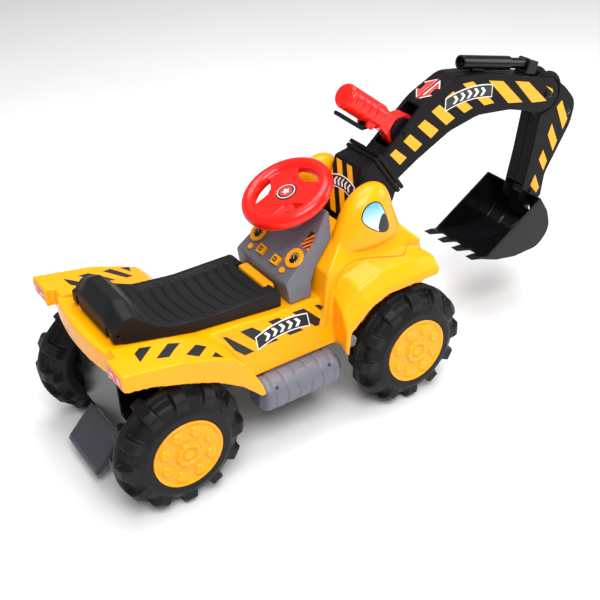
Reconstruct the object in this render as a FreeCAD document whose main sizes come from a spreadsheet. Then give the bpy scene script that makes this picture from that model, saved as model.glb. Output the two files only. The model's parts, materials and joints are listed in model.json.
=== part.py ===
"""Ride-on toy digger for a small child: a four-wheeled body that is sat on and
pushed along by the feet, with a hand-worked digging arm at the front.

+X is forwards and +Y is the rider's left.  Every sub-part is drawn from a datum
under the rear axle, a fixed drop below the ground, and its Placement then moves it
so that the ground is z = 0 and the origin is the middle of the toy's footprint.
"""
import FreeCAD, Part
import math
import os
import re

V = FreeCAD.Vector
DOC = FreeCAD.newDocument("ride_on_digger")
SHEET = DOC.addObject("Spreadsheet::Sheet", "Sheet")

# --------------------------------------------------------------------------
# Driving dimensions, millimetres and degrees
# --------------------------------------------------------------------------
DIMENSIONS = {
    "rear_axle_x": -351.8,      # rear axle, from the middle of the footprint
    "wheelbase": 372.0,
    "ground_height": 89.2,      # the ground, above the datum
    "axle_height": 180.2,       # above the datum, a tyre's radius over the ground
    "tyre_radius": 91.0,        # over the centre band and the lugs
    "tyre_valley_radius": 81.0,
    "tyre_outer_face": 150.0,   # outer side of a tyre, from the middle plane
    "tyre_inner_face": 93.0,
    "hub_ring_radius": 61.0,
    "hub_cap_radius": 49.0,
    "hub_cap_face": 154.0,
    "axle_radius": 5.0,
    "running_clearance": 0.06,
    "lug_count": 12,
    "wall": 3.0,                # moulded wall of every hollow piece
    "fender_outer": 138.0,
    "fender_inner": 74.0,
    "block_half": 86.0,
    "front_fender_outer": 130.0,
    "seat_half": 62.0,
    "seat_notch_half": 37.0,
    "seat_hinge_x": -36.0,
    "seat_hinge_z": 325.5,
    "tray_half": 46.0,
    "console_half": 66.0,
    "console_top_half": 50.0,
    "wheel_hub_x": 257.0,       # middle of the steering wheel
    "wheel_hub_z": 407.0,
    "wheel_tilt": 23.0,
    "steering_rim_radius": 56.0,
    "steering_rim_section": 10.5,
    "turret_half": 31.0,
    "flange_half": 34.0,
    "flange_length": 78.0,
    "flange_thickness": 6.0,
    "flange_lean": 55.0,        # slope of the flange plates from level
    "boom_half": 20.0,
    "lever_x": 446.0,           # lever pivot in the boom
    "lever_z": 452.0,
    "lever_hub_radius": 24.0,
    "lever_hub_half": 9.0,
    "grip_radius": 18.0,
    "grip_angle": 142.0,        # direction of the grip from the pivot
    "crank_radius": 18.0,       # of the push rod's pins about both pivots
    "elbow_x": 727.0,           # stick pivot at the end of the boom
    "elbow_z": 439.0,
    "elbow_radius": 27.0,
    "tongue_half": 15.5,
    "bucket_pin_x": 715.0,
    "bucket_pin_z": 276.0,
    "bucket_half": 61.0,
    "stick_half": 20.0,
    "footrest_radius": 25.0,
    "footrest_y": 107.0,
    "footrest_z": 184.0,
    "footrest_length": 134.0,
    "footrest_x": 193.0,
    "pin_radius": 3.0,
}


def fill_sheet():
    """Write each driving dimension into a cell and name the cell."""
    for row, (alias, value) in enumerate(DIMENSIONS.items(), start=1):
        SHEET.set("A%d" % row, alias.replace("_", " "))
        SHEET.set("B%d" % row, str(value))
        SHEET.setAlias("B%d" % row, alias)
    DOC.recompute()


def size(alias):
    """The value of one driving dimension, read from the sheet."""
    return float(SHEET.get(alias))


def bind(obj, prop, formula):
    """Tie a property to the sheet; the formula names the dimensions plainly."""
    text = re.sub(r"[a-z][a-z_]+[a-z]", lambda m: swap_alias(m.group(0)), str(formula))
    obj.setExpression(prop, text)


def swap_alias(word):
    return "Sheet." + word if word in DIMENSIONS else word


# --------------------------------------------------------------------------
# Building blocks
# --------------------------------------------------------------------------
def corner(before, point, after):
    """The two tangent points and the mid point of the arc that rounds a corner."""
    here = V(point[0], point[1], 0)
    to_before = (V(before[0], before[1], 0) - here).normalize()
    to_after = (V(after[0], after[1], 0) - here).normalize()
    half = to_before.getAngle(to_after) / 2
    reach = point[2] / math.tan(half)
    middle = (to_before + to_after).normalize()
    centre = here + middle * (point[2] / math.sin(half))
    return here + to_before * reach, centre - middle * point[2], here + to_after * reach


def outline_edges(points):
    """Lines and corner arcs of a closed outline; each point is (u, v, radius)."""
    edges = []
    stations = []
    count = len(points)
    for i, point in enumerate(points):
        if point[2] > 0:
            stations.append(corner(points[i - 1], point, points[(i + 1) % count]))
        else:
            here = V(point[0], point[1], 0)
            stations.append((here, None, here))
    for i, (first, middle, last) in enumerate(stations):
        if middle is not None:
            edges.append(Part.Arc(first, middle, last))
        following = stations[(i + 1) % count][0]
        if (following - last).Length > 1e-6:
            edges.append(Part.LineSegment(last, following))
    return edges


def inset(points, wall):
    """The same outline moved inwards by a wall, for points listed anticlockwise."""
    moved = []
    count = len(points)
    for i, point in enumerate(points):
        before = V(*points[i - 1][:2], 0)
        here = V(*point[:2], 0)
        after = V(*points[(i + 1) % count][:2], 0)
        along_in = (here - before).normalize()
        along_out = (after - here).normalize()
        normal_in = V(-along_in.y, along_in.x, 0)
        normal_out = V(-along_out.y, along_out.x, 0)
        bisector = (normal_in + normal_out).normalize()
        turned = along_in.cross(along_out).z
        spot = here + bisector * (wall / bisector.dot(normal_in))
        radius = point[2] - wall if turned > 0 else point[2] + wall
        moved.append((spot.x, spot.y, max(radius, 0) if point[2] > 0 else 0))
    return moved


def origin_plane(body, role):
    return [f for f in body.Origin.OriginFeatures if f.Role == role][0]


def side_prism(name, points, low, high):
    """A body padded from an outline in the XZ plane, between two Y values.

    low and high are formulas in the sheet's names."""
    body = DOC.addObject("PartDesign::Body", name)
    sketch = body.newObject("Sketcher::SketchObject", name + "_outline")
    sketch.AttachmentSupport = [(origin_plane(body, "XZ_Plane"), "")]
    sketch.MapMode = "FlatFace"
    for edge in outline_edges(points):
        sketch.addGeometry(edge, False)
    pad = body.newObject("PartDesign::Pad", name + "_pad")
    pad.Profile = sketch
    pad.Midplane = True
    bind(pad, "Length", "(%s) - (%s)" % (high, low))
    bind(body, ".Placement.Base.y", "((%s) + (%s)) / 2" % (high, low))
    return body


AXES = {"x": V(1, 0, 0), "y": V(0, 1, 0), "z": V(0, 0, 1)}


def cylinder(name, radius, length, centre, direction):
    """A cylinder about a middle point; radius and length are formulas."""
    obj = DOC.addObject("Part::Cylinder", name)
    bind(obj, "Radius", radius)
    bind(obj, "Height", length)
    DOC.recompute([obj])
    along = AXES[direction] if isinstance(direction, str) else direction
    turn = FreeCAD.Rotation(V(0, 0, 1), along)
    start = centre - V(along).normalize() * (obj.Height.Value / 2)
    obj.Placement = FreeCAD.Placement(start, turn)
    return obj


def cone(name, low_radius, high_radius, height, start, direction):
    obj = DOC.addObject("Part::Cone", name)
    obj.Radius1 = low_radius
    obj.Radius2 = high_radius
    obj.Height = height
    obj.Placement = FreeCAD.Placement(start, FreeCAD.Rotation(V(0, 0, 1), direction))
    return obj


def box(name, x, y, z):
    """A box between pairs of limits, each limit a number or a formula."""
    obj = DOC.addObject("Part::Box", name)
    for prop, limits, letter in (("Length", x, "x"), ("Width", y, "y"), ("Height", z, "z")):
        bind(obj, prop, "(%s) - (%s)" % (limits[1], limits[0]))
        bind(obj, ".Placement.Base." + letter, limits[0])
    return obj


def loft(name, wires, ruled=True):
    """A solid through a row of closed wires."""
    obj = DOC.addObject("Part::Feature", name)
    obj.Shape = Part.makeLoft(wires, True, ruled)
    return obj


def rectangle(x, y, z):
    """A level rectangle between x and y limits, at one height."""
    spots = [V(x[0], y[0], z), V(x[1], y[0], z), V(x[1], y[1], z), V(x[0], y[1], z)]
    return Part.makePolygon(spots + spots[:1])


def cut(name, base, *tools):
    """The base less every tool."""
    result = base
    for number, tool in enumerate(tools):
        step = DOC.addObject("Part::Cut", "%s_cut%d" % (name, number))
        step.Base = result
        step.Tool = tool
        result = step
    return result


def common(name, *pieces):
    """What every piece shares."""
    obj = DOC.addObject("Part::MultiCommon", name)
    obj.Shapes = list(pieces)
    return obj


def fuse(name, *pieces):
    obj = DOC.addObject("Part::MultiFuse", name + "_fuse")
    obj.Shapes = list(pieces)
    obj.Refine = True
    return obj


NODES = []


def node(label, obj):
    """Register a finished sub-part: its Label names its file."""
    obj.Label = label
    NODES.append(obj)


def around(x, z, radius, angle):
    """A point at a distance and angle from a pivot, seen from the toy's right."""
    turn = math.radians(angle)
    return x + radius * math.cos(turn), z + radius * math.sin(turn)


# --------------------------------------------------------------------------
# Body moulding
# --------------------------------------------------------------------------
TUB_STATIONS = [
    # x, half width and height of the deck edge, half width and height of the skirt
    (-56, 95, 317, 90, 286),
    (67, 77, 289, 90, 238),
    (130, 75, 283, 97, 208),
    (190, 73, 277, 97, 208),
    (270, 71, 274, 97, 208),
]


def deck_height(x):
    """Height of the deck at x, straight between the stations."""
    for low, high in zip(TUB_STATIONS, TUB_STATIONS[1:]):
        if x <= high[0]:
            share = (x - low[0]) / (high[0] - low[0])
            return low[2] + share * (high[2] - low[2])
    return TUB_STATIONS[-1][2]


def tub_section(x, top_half, top, skirt_half, skirt, wall, drop):
    spots = [V(x, -skirt_half + wall, skirt - drop), V(x, skirt_half - wall, skirt - drop),
             V(x, top_half - wall, top - wall), V(x, -top_half + wall, top - wall)]
    return Part.makePolygon(spots + spots[:1])


def tub(name, wall):
    """The long deck box; a wall above 0 gives its cavity, open underneath."""
    drop = 8 if wall else 0
    wires = []
    for number, (x, *rest) in enumerate(TUB_STATIONS):
        start = x + wall if number == 0 else x
        wires.append(tub_section(start, *rest, wall, drop))
    return loft(name, wires)


def block(name, wall):
    """The engine block, narrowing upwards."""
    half = size("block_half")
    levels = [
        ((250, 428), half, 202 - (8 if wall else 0)),
        ((262, 425), half + 2, 318),
        ((293, 393), 72, 350 - wall),
    ]
    wires = []
    for x, half_width, z in levels:
        y_limit = half_width - wall
        wires.append(rectangle((x[0] + wall, x[1] - wall), (-y_limit, y_limit), z))
    return loft(name, wires)


def rear_fender(name, side):
    """A flared channel over a rear wheel, open underneath."""
    outer = size("fender_outer")
    inner = size("fender_inner")
    wall = size("wall")
    top = [(122, 226, 6), (104, 262, 30), (84, 286, 30), (50, 299, 60), (15, 311, 60),
           (-70, 326, 3)]
    lip = [(-68, 300, 2), (-34, 294, 0), (15, 277, 60), (54, 261, 60), (92, 236, 30),
           (120, 208, 3), (127, 210, 3)]
    hollow = [(117, 224, 4), (101, 259, 28), (82, 282, 28), (49, 296, 58), (15, 308, 58),
              (-67, 322.5, 1), (-64, 280, 1), (15, 250, 1), (100, 205, 1), (112, 200, 1)]
    limits = sorted((side * inner, side * outer))
    gap = sorted((side * (inner + wall), side * (outer - wall)))
    shell = side_prism(name, top + lip, limits[0], limits[1])
    cavity = side_prism(name + "_cavity", hollow, gap[0], gap[1])
    return cut(name, shell, cavity)


def front_fender(name, side):
    """A sloping mudguard band between the block and its outer lip."""
    root = [(268, 204), (271, 285), (286, 309), (323, 320), (388, 318), (425, 305),
            (425, 290), (386, 304), (325, 306), (296, 297), (284, 280), (282, 204)]
    lip = [(262, 207), (263, 246), (300, 279), (335, 292), (392, 291), (427, 291),
           (423, 280), (390, 279), (337, 281), (306, 269), (272, 240), (268, 207)]
    crown = []
    bulge = 9
    for number, ((x1, z1), (x2, z2)) in enumerate(zip(root, lip)):
        rise = bulge if number < len(root) / 2 else bulge * 0.6
        crown.append(((x1 + 2 * x2) / 3, (z1 + 2 * z2) / 3 + rise))
    root_y = size("block_half") - 1
    lip_y = size("front_fender_outer")
    wires = []
    for points, y in ((root, root_y), (crown, (root_y + 2 * lip_y) / 3), (lip, lip_y)):
        spots = [V(x, side * y, z) for x, z in points]
        wires.append(Part.makePolygon(spots + spots[:1]))
    return loft(name, wires)


def hump(name, side):
    """A headlamp lobe on the engine block."""
    rings = [(345, 61, 57, 27, 335), (345, 61, 51, 27, 358), (347, 60, 40, 24, 384),
             (351, 59, 30, 19, 401), (355, 58, 18, 12, 411), (356, 58, 7, 5, 415)]
    wires = []
    for x, y, half_length, half_width, z in rings:
        oval = Part.Ellipse(V(0, 0, 0), half_length, half_width).toShape()
        oval.Placement = FreeCAD.Placement(V(x, side * y, z), FreeCAD.Rotation())
        wires.append(Part.Wire([oval]))
    return loft(name, wires, ruled=False)


def make_tail_bow():
    """The bowed rear edge of the deck, between the two tail lamps: a thin crescent."""
    wall = size("wall")
    edge, top_half, top, _, skirt = TUB_STATIONS[0]
    bow = 12
    radius = (top_half ** 2 + bow ** 2) / (2 * bow)
    centre = V(edge - bow + radius, 0, 300)
    outside = cylinder("tail_bow_outside", str(radius), "200", centre, "z")
    inside = cylinder("tail_bow_inside", str(radius - wall), "200", centre, "z")
    band = box("tail_bow_band", (edge - bow - 1, edge + 0.5), (-94, 94), (skirt, top + 1))
    room = box("tail_bow_room", (edge - bow - 1, edge), (-94, 94), (skirt - 5, top + 1 - wall))
    hollow = common("tail_bow_hollow", room, inside)
    return cut("tail_bow", common("tail_bow_solid", outside, band), hollow)


def make_body_shell():
    pieces = [cut("tub", tub("tub_outside", 0), tub("tub_inside", size("wall"))),
              cut("block", block("block_outside", 0), block("block_inside", size("wall")))]
    for side, word in ((-1, "right"), (1, "left")):
        pieces.append(rear_fender("rear_fender_" + word, side))
        pieces.append(front_fender("front_fender_" + word, side))
        pieces.append(hump("hump_" + word, side))
        low, high = sorted((side * 94, side * 98))
        pieces.append(box("tail_wall_" + word, (-69, -53), (low, high), (298, 321)))
        ear_low, ear_high = sorted((side * 42, side * 48))
        pieces.append(box("hinge_ear_" + word, ("seat_hinge_x - 4.5", "seat_hinge_x + 4.5"),
                          (ear_low, ear_high), (309, "seat_hinge_z + 4")))
    pieces.append(box("seat_tab", (193, 209), ("-seat_notch_half + 1", "seat_notch_half - 1"),
                      (273, 299)))
    tail = make_tail_bow()
    pieces.append(tail)
    shell = fuse("body_shell", *pieces)
    half = size("turret_half") + 0.3
    openings = [
        box("tray_opening", (7.5, 182.5), ("-tray_half - 0.5", "tray_half + 0.5"), (240, 330)),
        box("turret_opening", (329.5, 440), (-half, half), (290, 430)),
        box("cavity_link", (240, 271), (-66, 66), (200, 268)),
        box("rail_gap", (240, 271), (-82, 82), (190, 210)),
        cut("tail_gap", box("tail_gap", (-80, -56), (-94, 94), (250, 340)), tail),
        cylinder("hinge_bore", "2.05", "110", V(size("seat_hinge_x"), 0,
                                                size("seat_hinge_z")), "y"),
    ]
    node("body_shell", cut("body_shell", shell, *openings))


def make_storage_tray():
    """Open box under the seat, its rim level with the underside of the deck."""
    gap = 3.2
    rim = [(x, deck_height(x) - gap, 0) for x in (182, 130, 67, 8)]
    outside = side_prism("tray_outside", [(8, 226, 6), (182, 226, 6)] + rim,
                         "-tray_half", "tray_half")
    room = [(10.5, 228.5, 4), (179.5, 228.5, 4), (179.5, 330, 0), (10.5, 330, 0)]
    inside = side_prism("tray_inside", room, "-tray_half + 2.5", "tray_half - 2.5")
    node("storage_tray", cut("storage_tray", outside, inside))


# --------------------------------------------------------------------------
# Chassis, axles and wheels
# --------------------------------------------------------------------------
def make_chassis():
    """Open-bottomed black frame: two rails, a rear and a front axle tower."""
    wall = size("wall")
    rear = box("rear_tower", (-48, 34), (-62, 62), (163, 222))
    rear_back = box("rear_back_wall", (-48, -42), (-62, 62), (163, 289))
    front = box("front_tower", (338, 406), (-60, 60), (163, 300))
    pieces = [rear, rear_back, front]
    hollows = [box("rear_tower_hollow", (-48 + wall, 34 - wall), (-62 + wall, 62 - wall),
                   (150, 222 - wall)),
               box("front_tower_hollow", (338 + wall, 406 - wall),
                   (-60 + wall, 60 - wall), (150, 300 - wall))]
    for side, word in ((-1, "right"), (1, "left")):
        low, high = sorted((side * 62, side * 80))
        pieces.append(box("rail_" + word, (-48, 400), (low, high), (192, 208)))
        for label, x in (("rear", 0), ("front", size("wheelbase"))):
            pieces.append(cylinder("%s_boss_%s" % (label, word), "13", "30",
                                   V(x, side * 75, size("axle_height")), "y"))
        pieces.append(box("tray_rest_" + word, (30, 340), sorted((side * 47, side * 66)),
                          (205, 222)))
    frame = fuse("chassis", *pieces)
    bores = []
    for label, x in (("rear", 0), ("front", size("wheelbase"))):
        bores.append(cylinder(label + "_bore", "axle_radius + 0.02", "200",
                              V(x, 0, size("axle_height")), "y"))
    node("chassis", cut("chassis", frame, *hollows, *bores))


def make_kick_plate():
    """Sloping tail plate that stops the toy from tipping over backwards."""
    outline = [(-48.2, 160, 0), (-87, 120, 3), (-91, 112, 3), (-83, 110, 3), (-48.2, 143, 0)]
    node("kick_plate", side_prism("kick_plate", outline, -45, 45))


def make_axles():
    length = "2 * (tyre_outer_face - 15)"
    for word, x in (("rear", 0), ("front", size("wheelbase"))):
        node("axle_" + word, cylinder("axle_" + word, "axle_radius", length,
                                      V(x, 0, size("axle_height")), "y"))


def tyre(name):
    """A moulded wheel: barrel tread, centre band and two rows of lugs."""
    outer = size("tyre_outer_face")
    inner = size("tyre_inner_face")
    middle = (outer + inner) / 2
    valley = size("tyre_valley_radius")
    radius = size("tyre_radius")
    ring = size("hub_ring_radius")
    recess = size("hub_cap_radius") + 0.3
    bore = size("axle_radius") + size("running_clearance")
    body = DOC.addObject("PartDesign::Body", name)
    sketch = body.newObject("Sketcher::SketchObject", name + "_half_section")
    sketch.AttachmentSupport = [(origin_plane(body, "XY_Plane"), "")]
    sketch.MapMode = "FlatFace"
    section = [
        (bore, inner, 0), (16, inner, 0), (16, inner + 22, 2), (ring - 12, inner + 22, 4),
        (ring - 12, inner, 2), (ring, inner, 4), (valley - 3, inner + 11, 8),
        (valley, middle - 5, 2), (radius, middle - 4, 1.5), (radius, middle + 4, 1.5),
        (valley, middle + 5, 2), (valley - 3, outer - 11, 8), (ring, outer, 4),
        (recess, outer, 0), (recess, outer - 30, 3), (bore, outer - 30, 0),
    ]
    for edge in outline_edges(section):
        sketch.addGeometry(edge, False)
    spin = body.newObject("PartDesign::Revolution", name + "_turned")
    spin.Profile = sketch
    spin.ReferenceAxis = (sketch, ["V_Axis"])
    spin.Angle = 360
    lugs = body.newObject("Sketcher::SketchObject", name + "_lug_outline")
    lugs.AttachmentSupport = [(origin_plane(body, "YZ_Plane"), "")]
    lugs.MapMode = "FlatFace"
    reach = radius - 0.5
    for first, last in ((inner + 3, middle - 3), (middle + 3, outer - 3)):
        shoulder = (first, ring + 4) if first < middle else (last, ring + 4)
        if first < middle:
            points = [(shoulder[0], shoulder[1], 0), (last, ring + 4, 0), (last, reach, 0),
                      (first + 9, reach - 2, 4), (first, reach - 10, 4)]
        else:
            points = [(first, ring + 4, 0), (shoulder[0], shoulder[1], 0),
                      (last, reach - 10, 4), (last - 9, reach - 2, 4), (first, reach, 0)]
        for edge in outline_edges(points):
            lugs.addGeometry(edge, False)
    lug = body.newObject("PartDesign::Pad", name + "_lug")
    lug.Profile = lugs
    lug.Midplane = True
    lug.Length = 17
    pattern = body.newObject("PartDesign::PolarPattern", name + "_lugs")
    pattern.Originals = [lug]
    pattern.Axis = (sketch, ["V_Axis"])
    pattern.Angle = 360
    bind(pattern, "Occurrences", "lug_count")
    body.Tip = pattern
    return body


def make_wheels():
    """Four tyres, each with a hub cap that hides the axle's end."""
    outer = size("tyre_outer_face")
    for end, x in (("rear", 0), ("front", size("wheelbase"))):
        for side, word in ((-1, "right"), (1, "left")):
            corner_name = "%s_%s" % (end, word)
            turned = FreeCAD.Rotation(V(1, 0, 0), 180 if side < 0 else 0)
            wheel = tyre("tyre_" + corner_name)
            wheel.Placement = FreeCAD.Placement(V(x, 0, size("axle_height")), turned)
            node("tyre_" + corner_name, wheel)
            make_hub_cap("hub_cap_" + corner_name, x, side, outer)


def make_hub_cap(name, x, side, outer):
    """A dished cap with eight round bosses and a raised middle ring."""
    z = size("axle_height")
    face = size("hub_cap_face")
    plate = cylinder(name + "_plate", "hub_cap_radius", "6", V(x, side * (outer - 1), z), "y")
    ring = cylinder(name + "_ring", "16", "4", V(x, side * (face - 2), z), "y")
    skirt = cylinder(name + "_skirt", "hub_cap_radius", "10",
                     V(x, side * (outer - 9), z), "y")
    skirt_room = cylinder(name + "_skirt_room", "hub_cap_radius - 2.5", "10",
                          V(x, side * (outer - 9), z), "y")
    pieces = [plate, ring, cut(name + "_skirt", skirt, skirt_room)]
    boss_count = 8
    for number in range(boss_count):
        spot = around(x, z, 34, 360 * (number + 0.5) / boss_count)
        pieces.append(cylinder("%s_boss%d" % (name, number), "6", "4",
                               V(spot[0], side * (face - 2), spot[1]), "y"))
    node(name, fuse(name, *pieces))


def make_axle_retainers():
    """Push-on caps on the four axle ends, inside the hub caps."""
    caps = []
    for x in (0, size("wheelbase")):
        for side in (-1, 1):
            middle = V(x, side * (size("tyre_outer_face") - 24), size("axle_height"))
            name = "retainer_%d_%d" % (x, side + 1)
            ring = cylinder(name, "9", "6", middle, "y")
            hole = cylinder(name + "_hole", "axle_radius", "8", middle, "y")
            caps.append(cut(name, ring, hole))
    node("axle_retainers", fuse("axle_retainers", *caps))


# --------------------------------------------------------------------------
# Seat
# --------------------------------------------------------------------------
def make_seat():
    """Moulded seat and low backrest that lifts as the lid of the tray."""
    gap = 0.6
    under = [(x, deck_height(x) + gap, 0) for x in (-28, 67, 130, 190)]
    top = [(202, deck_height(200) + gap, 2), (202, 303, 9), (100, 304, 60), (41, 311, 40),
           (14, 323, 20), (-11, 360, 8), (-28, 360, 10), (-43, 338, 16), (-43, 317, 2),
           (-34, 315, 0)]
    blank = side_prism("seat_blank", under + top, "-seat_half", "seat_half")
    saddle_points = [(17, 319, 2), (41, 309, 30), (100, 302, 60), (196, 300.5, 2),
                     (196, 330, 3), (30, 345, 3)]
    saddle = side_prism("seat_saddle", saddle_points, "-seat_half + 9", "seat_half - 9")
    notch = box("seat_notch", (188, 210), ("-seat_notch_half", "seat_notch_half"), (260, 320))
    room_points = [(-20, 305, 2), (6, deck_height(6) - 6, 2), (186, deck_height(186) - 6, 2),
                   (186, 288, 3), (100, 295, 30), (41, 302, 30), (4, 316, 10), (-15, 346, 4),
                   (-24, 346, 4)]
    room = side_prism("seat_room", room_points, "-seat_half + 4", "seat_half - 4")
    ear_slots = []
    for side in (-1, 1):
        ear_slots.append(box("seat_ear_slot_%d" % (side + 1), (-50, -29),
                             sorted((side * 41, side * 49)), (300, 333)))
    knuckle = cylinder("seat_knuckle", "4.5", "80",
                       V(size("seat_hinge_x"), 0, size("seat_hinge_z")), "y")
    solid = cut("seat_shell", blank, saddle, notch, room, *ear_slots)
    joined = fuse("seat_lid", solid, knuckle)
    bore = cylinder("seat_bore", "2.05", "130",
                    V(size("seat_hinge_x"), 0, size("seat_hinge_z")), "y")
    node("seat_lid", cut("seat_lid", joined, bore))
    node("seat_hinge_pin", cylinder("seat_hinge_pin", "2", "98",
                                    V(size("seat_hinge_x"), 0, size("seat_hinge_z")), "y"))


# --------------------------------------------------------------------------
# Console and steering wheel
# --------------------------------------------------------------------------
DASH_LOW = (209, 308)       # rear edge of the dash
DASH_HIGH = (262, 353)      # where the dash turns steeper
DASH_SLOPE = math.atan2(DASH_HIGH[1] - DASH_LOW[1], DASH_HIGH[0] - DASH_LOW[0])
DASH_NORMAL = V(-math.sin(DASH_SLOPE), 0, math.cos(DASH_SLOPE))


def dash_point(along, y, lift=0):
    """A point on the dash, a distance up from its rear edge."""
    return V(DASH_LOW[0] + along * math.cos(DASH_SLOPE), y,
             DASH_LOW[1] + along * math.sin(DASH_SLOPE)) + DASH_NORMAL * lift


def square_on_dash(name, width, depth, along, y, lift):
    """A square block standing on the dash about one of its points."""
    obj = DOC.addObject("Part::Box", name)
    obj.Length = width
    obj.Width = width
    obj.Height = depth
    turn = FreeCAD.Rotation(V(0, 1, 0), -math.degrees(DASH_SLOPE))
    start = dash_point(along, y, lift) + turn.multVec(V(-width / 2, -width / 2, 0))
    obj.Placement = FreeCAD.Placement(start, turn)
    return obj


STEER_TILT = math.radians(DIMENSIONS["wheel_tilt"])
STEER_AXIS = V(-math.sin(STEER_TILT), 0, math.cos(STEER_TILT))
GAUGE_ALONG = 37
GAUGE_Y = 45
BUTTON_ALONG = 20
BUTTON_Y = 18
BUTTON_SIDE = 14.0
KNOB_ALONG = 14
KNOB_Y = 40
CONSOLE_BASE = 277.5


def console_outline():
    return [(214, CONSOLE_BASE, 2), (249.4, CONSOLE_BASE, 0), (249.4, 300, 0),
            (259.6, 318.5, 0), (290, 351, 0), (291.6, 390, 3), (286, 390, 2),
            DASH_HIGH + (20,), DASH_LOW + (6,)]


def make_console():
    """Dash housing on the deck, open underneath, with buttons and dials."""
    base = CONSOLE_BASE
    inside = [(217.5, base - 5, 0), (246, base - 5, 0), (246, 300, 0), (257, 320, 0),
              (284, 350, 0), (284, 380, 1), (264.5, 350, 4), (213.5, 306.5, 3)]
    solid = side_prism("console_outside", console_outline(), "-console_half", "console_half")
    room = side_prism("console_inside", inside, -45, 45)
    slopes = []
    for side in (-1, 1):
        low = size("console_half")
        high = size("console_top_half")
        spots = [V(200, side * low, 300), V(200, side * high, 392), V(200, side * 90, 392),
                 V(200, side * 90, 300)]
        face = Part.Face(Part.makePolygon(spots + spots[:1]))
        wedge = DOC.addObject("Part::Feature", "console_slope_%d" % (side + 1))
        wedge.Shape = face.extrude(V(110, 0, 0))
        slopes.append(wedge)
    wells = []
    for side in (-1, 1):
        wells.append(square_on_dash("button_well_%d" % (side + 1), BUTTON_SIDE + 0.8, 30,
                                    BUTTON_ALONG, side * BUTTON_Y, -15))
    node("console", cut("console", solid, room, *slopes, *wells))
    for side, word in ((-1, "right"), (1, "left")):
        button = square_on_dash("button_" + word, BUTTON_SIDE, 7, BUTTON_ALONG,
                                side * BUTTON_Y, -3)
        node("button_" + word, button)
    rings = []
    faces = []
    knobs = []
    for side in (-1, 1):
        name = "gauge_%d" % (side + 1)
        dial = dash_point(GAUGE_ALONG, side * GAUGE_Y)
        ring = cylinder(name + "_ring", "13", "3", dial + DASH_NORMAL * 1.5, DASH_NORMAL)
        hole = cylinder(name + "_hole", "8.2", "5", dial + DASH_NORMAL * 2.5, DASH_NORMAL)
        rings.append(cut(name, ring, hole))
        faces.append(cylinder(name + "_face", "8.1", "1.8", dial + DASH_NORMAL * 0.9,
                              DASH_NORMAL))
        knob = dash_point(KNOB_ALONG, side * KNOB_Y)
        knobs.append(cylinder(name + "_knob", "4.5", "3", knob + DASH_NORMAL * 1.5,
                              DASH_NORMAL))
    node("gauge_rings", fuse("gauge_rings", *rings))
    node("gauge_faces", fuse("gauge_faces", *faces))
    node("dash_knobs", fuse("dash_knobs", *knobs))
    node("sound_module", box("sound_module", (220, 244), (-34, 34), (277.5, 293)))


def steer_point(along):
    """A point on the steering axis, a distance above the wheel's middle."""
    return V(size("wheel_hub_x"), 0, size("wheel_hub_z")) + STEER_AXIS * along


def make_steering():
    """Cone on the dash, steel shaft, and a three-spoked wheel that turns on it."""
    column = cone("column_cone", 24, 14, 46, steer_point(-61), STEER_AXIS)
    dash_cutter = side_prism("column_trim", console_outline(), -40, 40)
    bore = cylinder("column_bore", "4", "80", steer_point(-40), STEER_AXIS)
    node("steering_column", cut("steering_column", column, dash_cutter, bore))
    node("steering_shaft", cylinder("steering_shaft", "3.9", "34", steer_point(-18),
                                    STEER_AXIS))
    rim = DOC.addObject("Part::Torus", "steering_rim")
    bind(rim, "Radius1", "steering_rim_radius")
    bind(rim, "Radius2", "steering_rim_section")
    turn = FreeCAD.Rotation(V(0, 0, 1), STEER_AXIS)
    rim.Placement = FreeCAD.Placement(steer_point(0), turn)
    hub = cylinder("steering_hub", "28", "14", steer_point(-4), STEER_AXIS)
    spokes = []
    for number in range(3):
        spoke = DOC.addObject("Part::Box", "steering_spoke%d" % number)
        spoke.Length = 36
        spoke.Width = 42
        spoke.Height = 11
        lie = FreeCAD.Rotation(V(0, 0, 1), 60 + 120 * number)
        spoke.Placement = FreeCAD.Placement(steer_point(0), turn).multiply(
            FreeCAD.Placement(lie.multVec(V(18, -21, -8)), lie))
        spokes.append(spoke)
    wheel = fuse("steering_wheel", rim, hub, *spokes)
    socket = cylinder("steering_socket", "3.96", "12", steer_point(-6.1), STEER_AXIS)
    seat_for_badge = cylinder("badge_seat", "15", "4", steer_point(3), STEER_AXIS)
    node("steering_wheel", cut("steering_wheel", wheel, socket, seat_for_badge))
    node("steering_badge", cylinder("steering_badge", "14.9", "2.5", steer_point(2.25),
                                    STEER_AXIS))


# --------------------------------------------------------------------------
# Turret, boom and linkage
# --------------------------------------------------------------------------
FLANGE_LOW = (430, 372)
LEAN = math.radians(DIMENSIONS["flange_lean"])
FLANGE_ALONG = (-math.cos(LEAN), math.sin(LEAN))
FLANGE_OUT = (math.sin(LEAN), math.cos(LEAN))


def flange_point(along, out):
    """A point beside the flange: along its slope, and out towards the boom."""
    return (FLANGE_LOW[0] + FLANGE_ALONG[0] * along + FLANGE_OUT[0] * out,
            FLANGE_LOW[1] + FLANGE_ALONG[1] * along + FLANGE_OUT[1] * out)


def flange_plate(name, out_low, out_high):
    length = size("flange_length")
    corners = [flange_point(0, out_low), flange_point(0, out_high),
               flange_point(length, out_high), flange_point(length, out_low)]
    plate = side_prism(name, [(x, z, 1) for x, z in corners], "-flange_half", "flange_half")
    return plate


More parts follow.
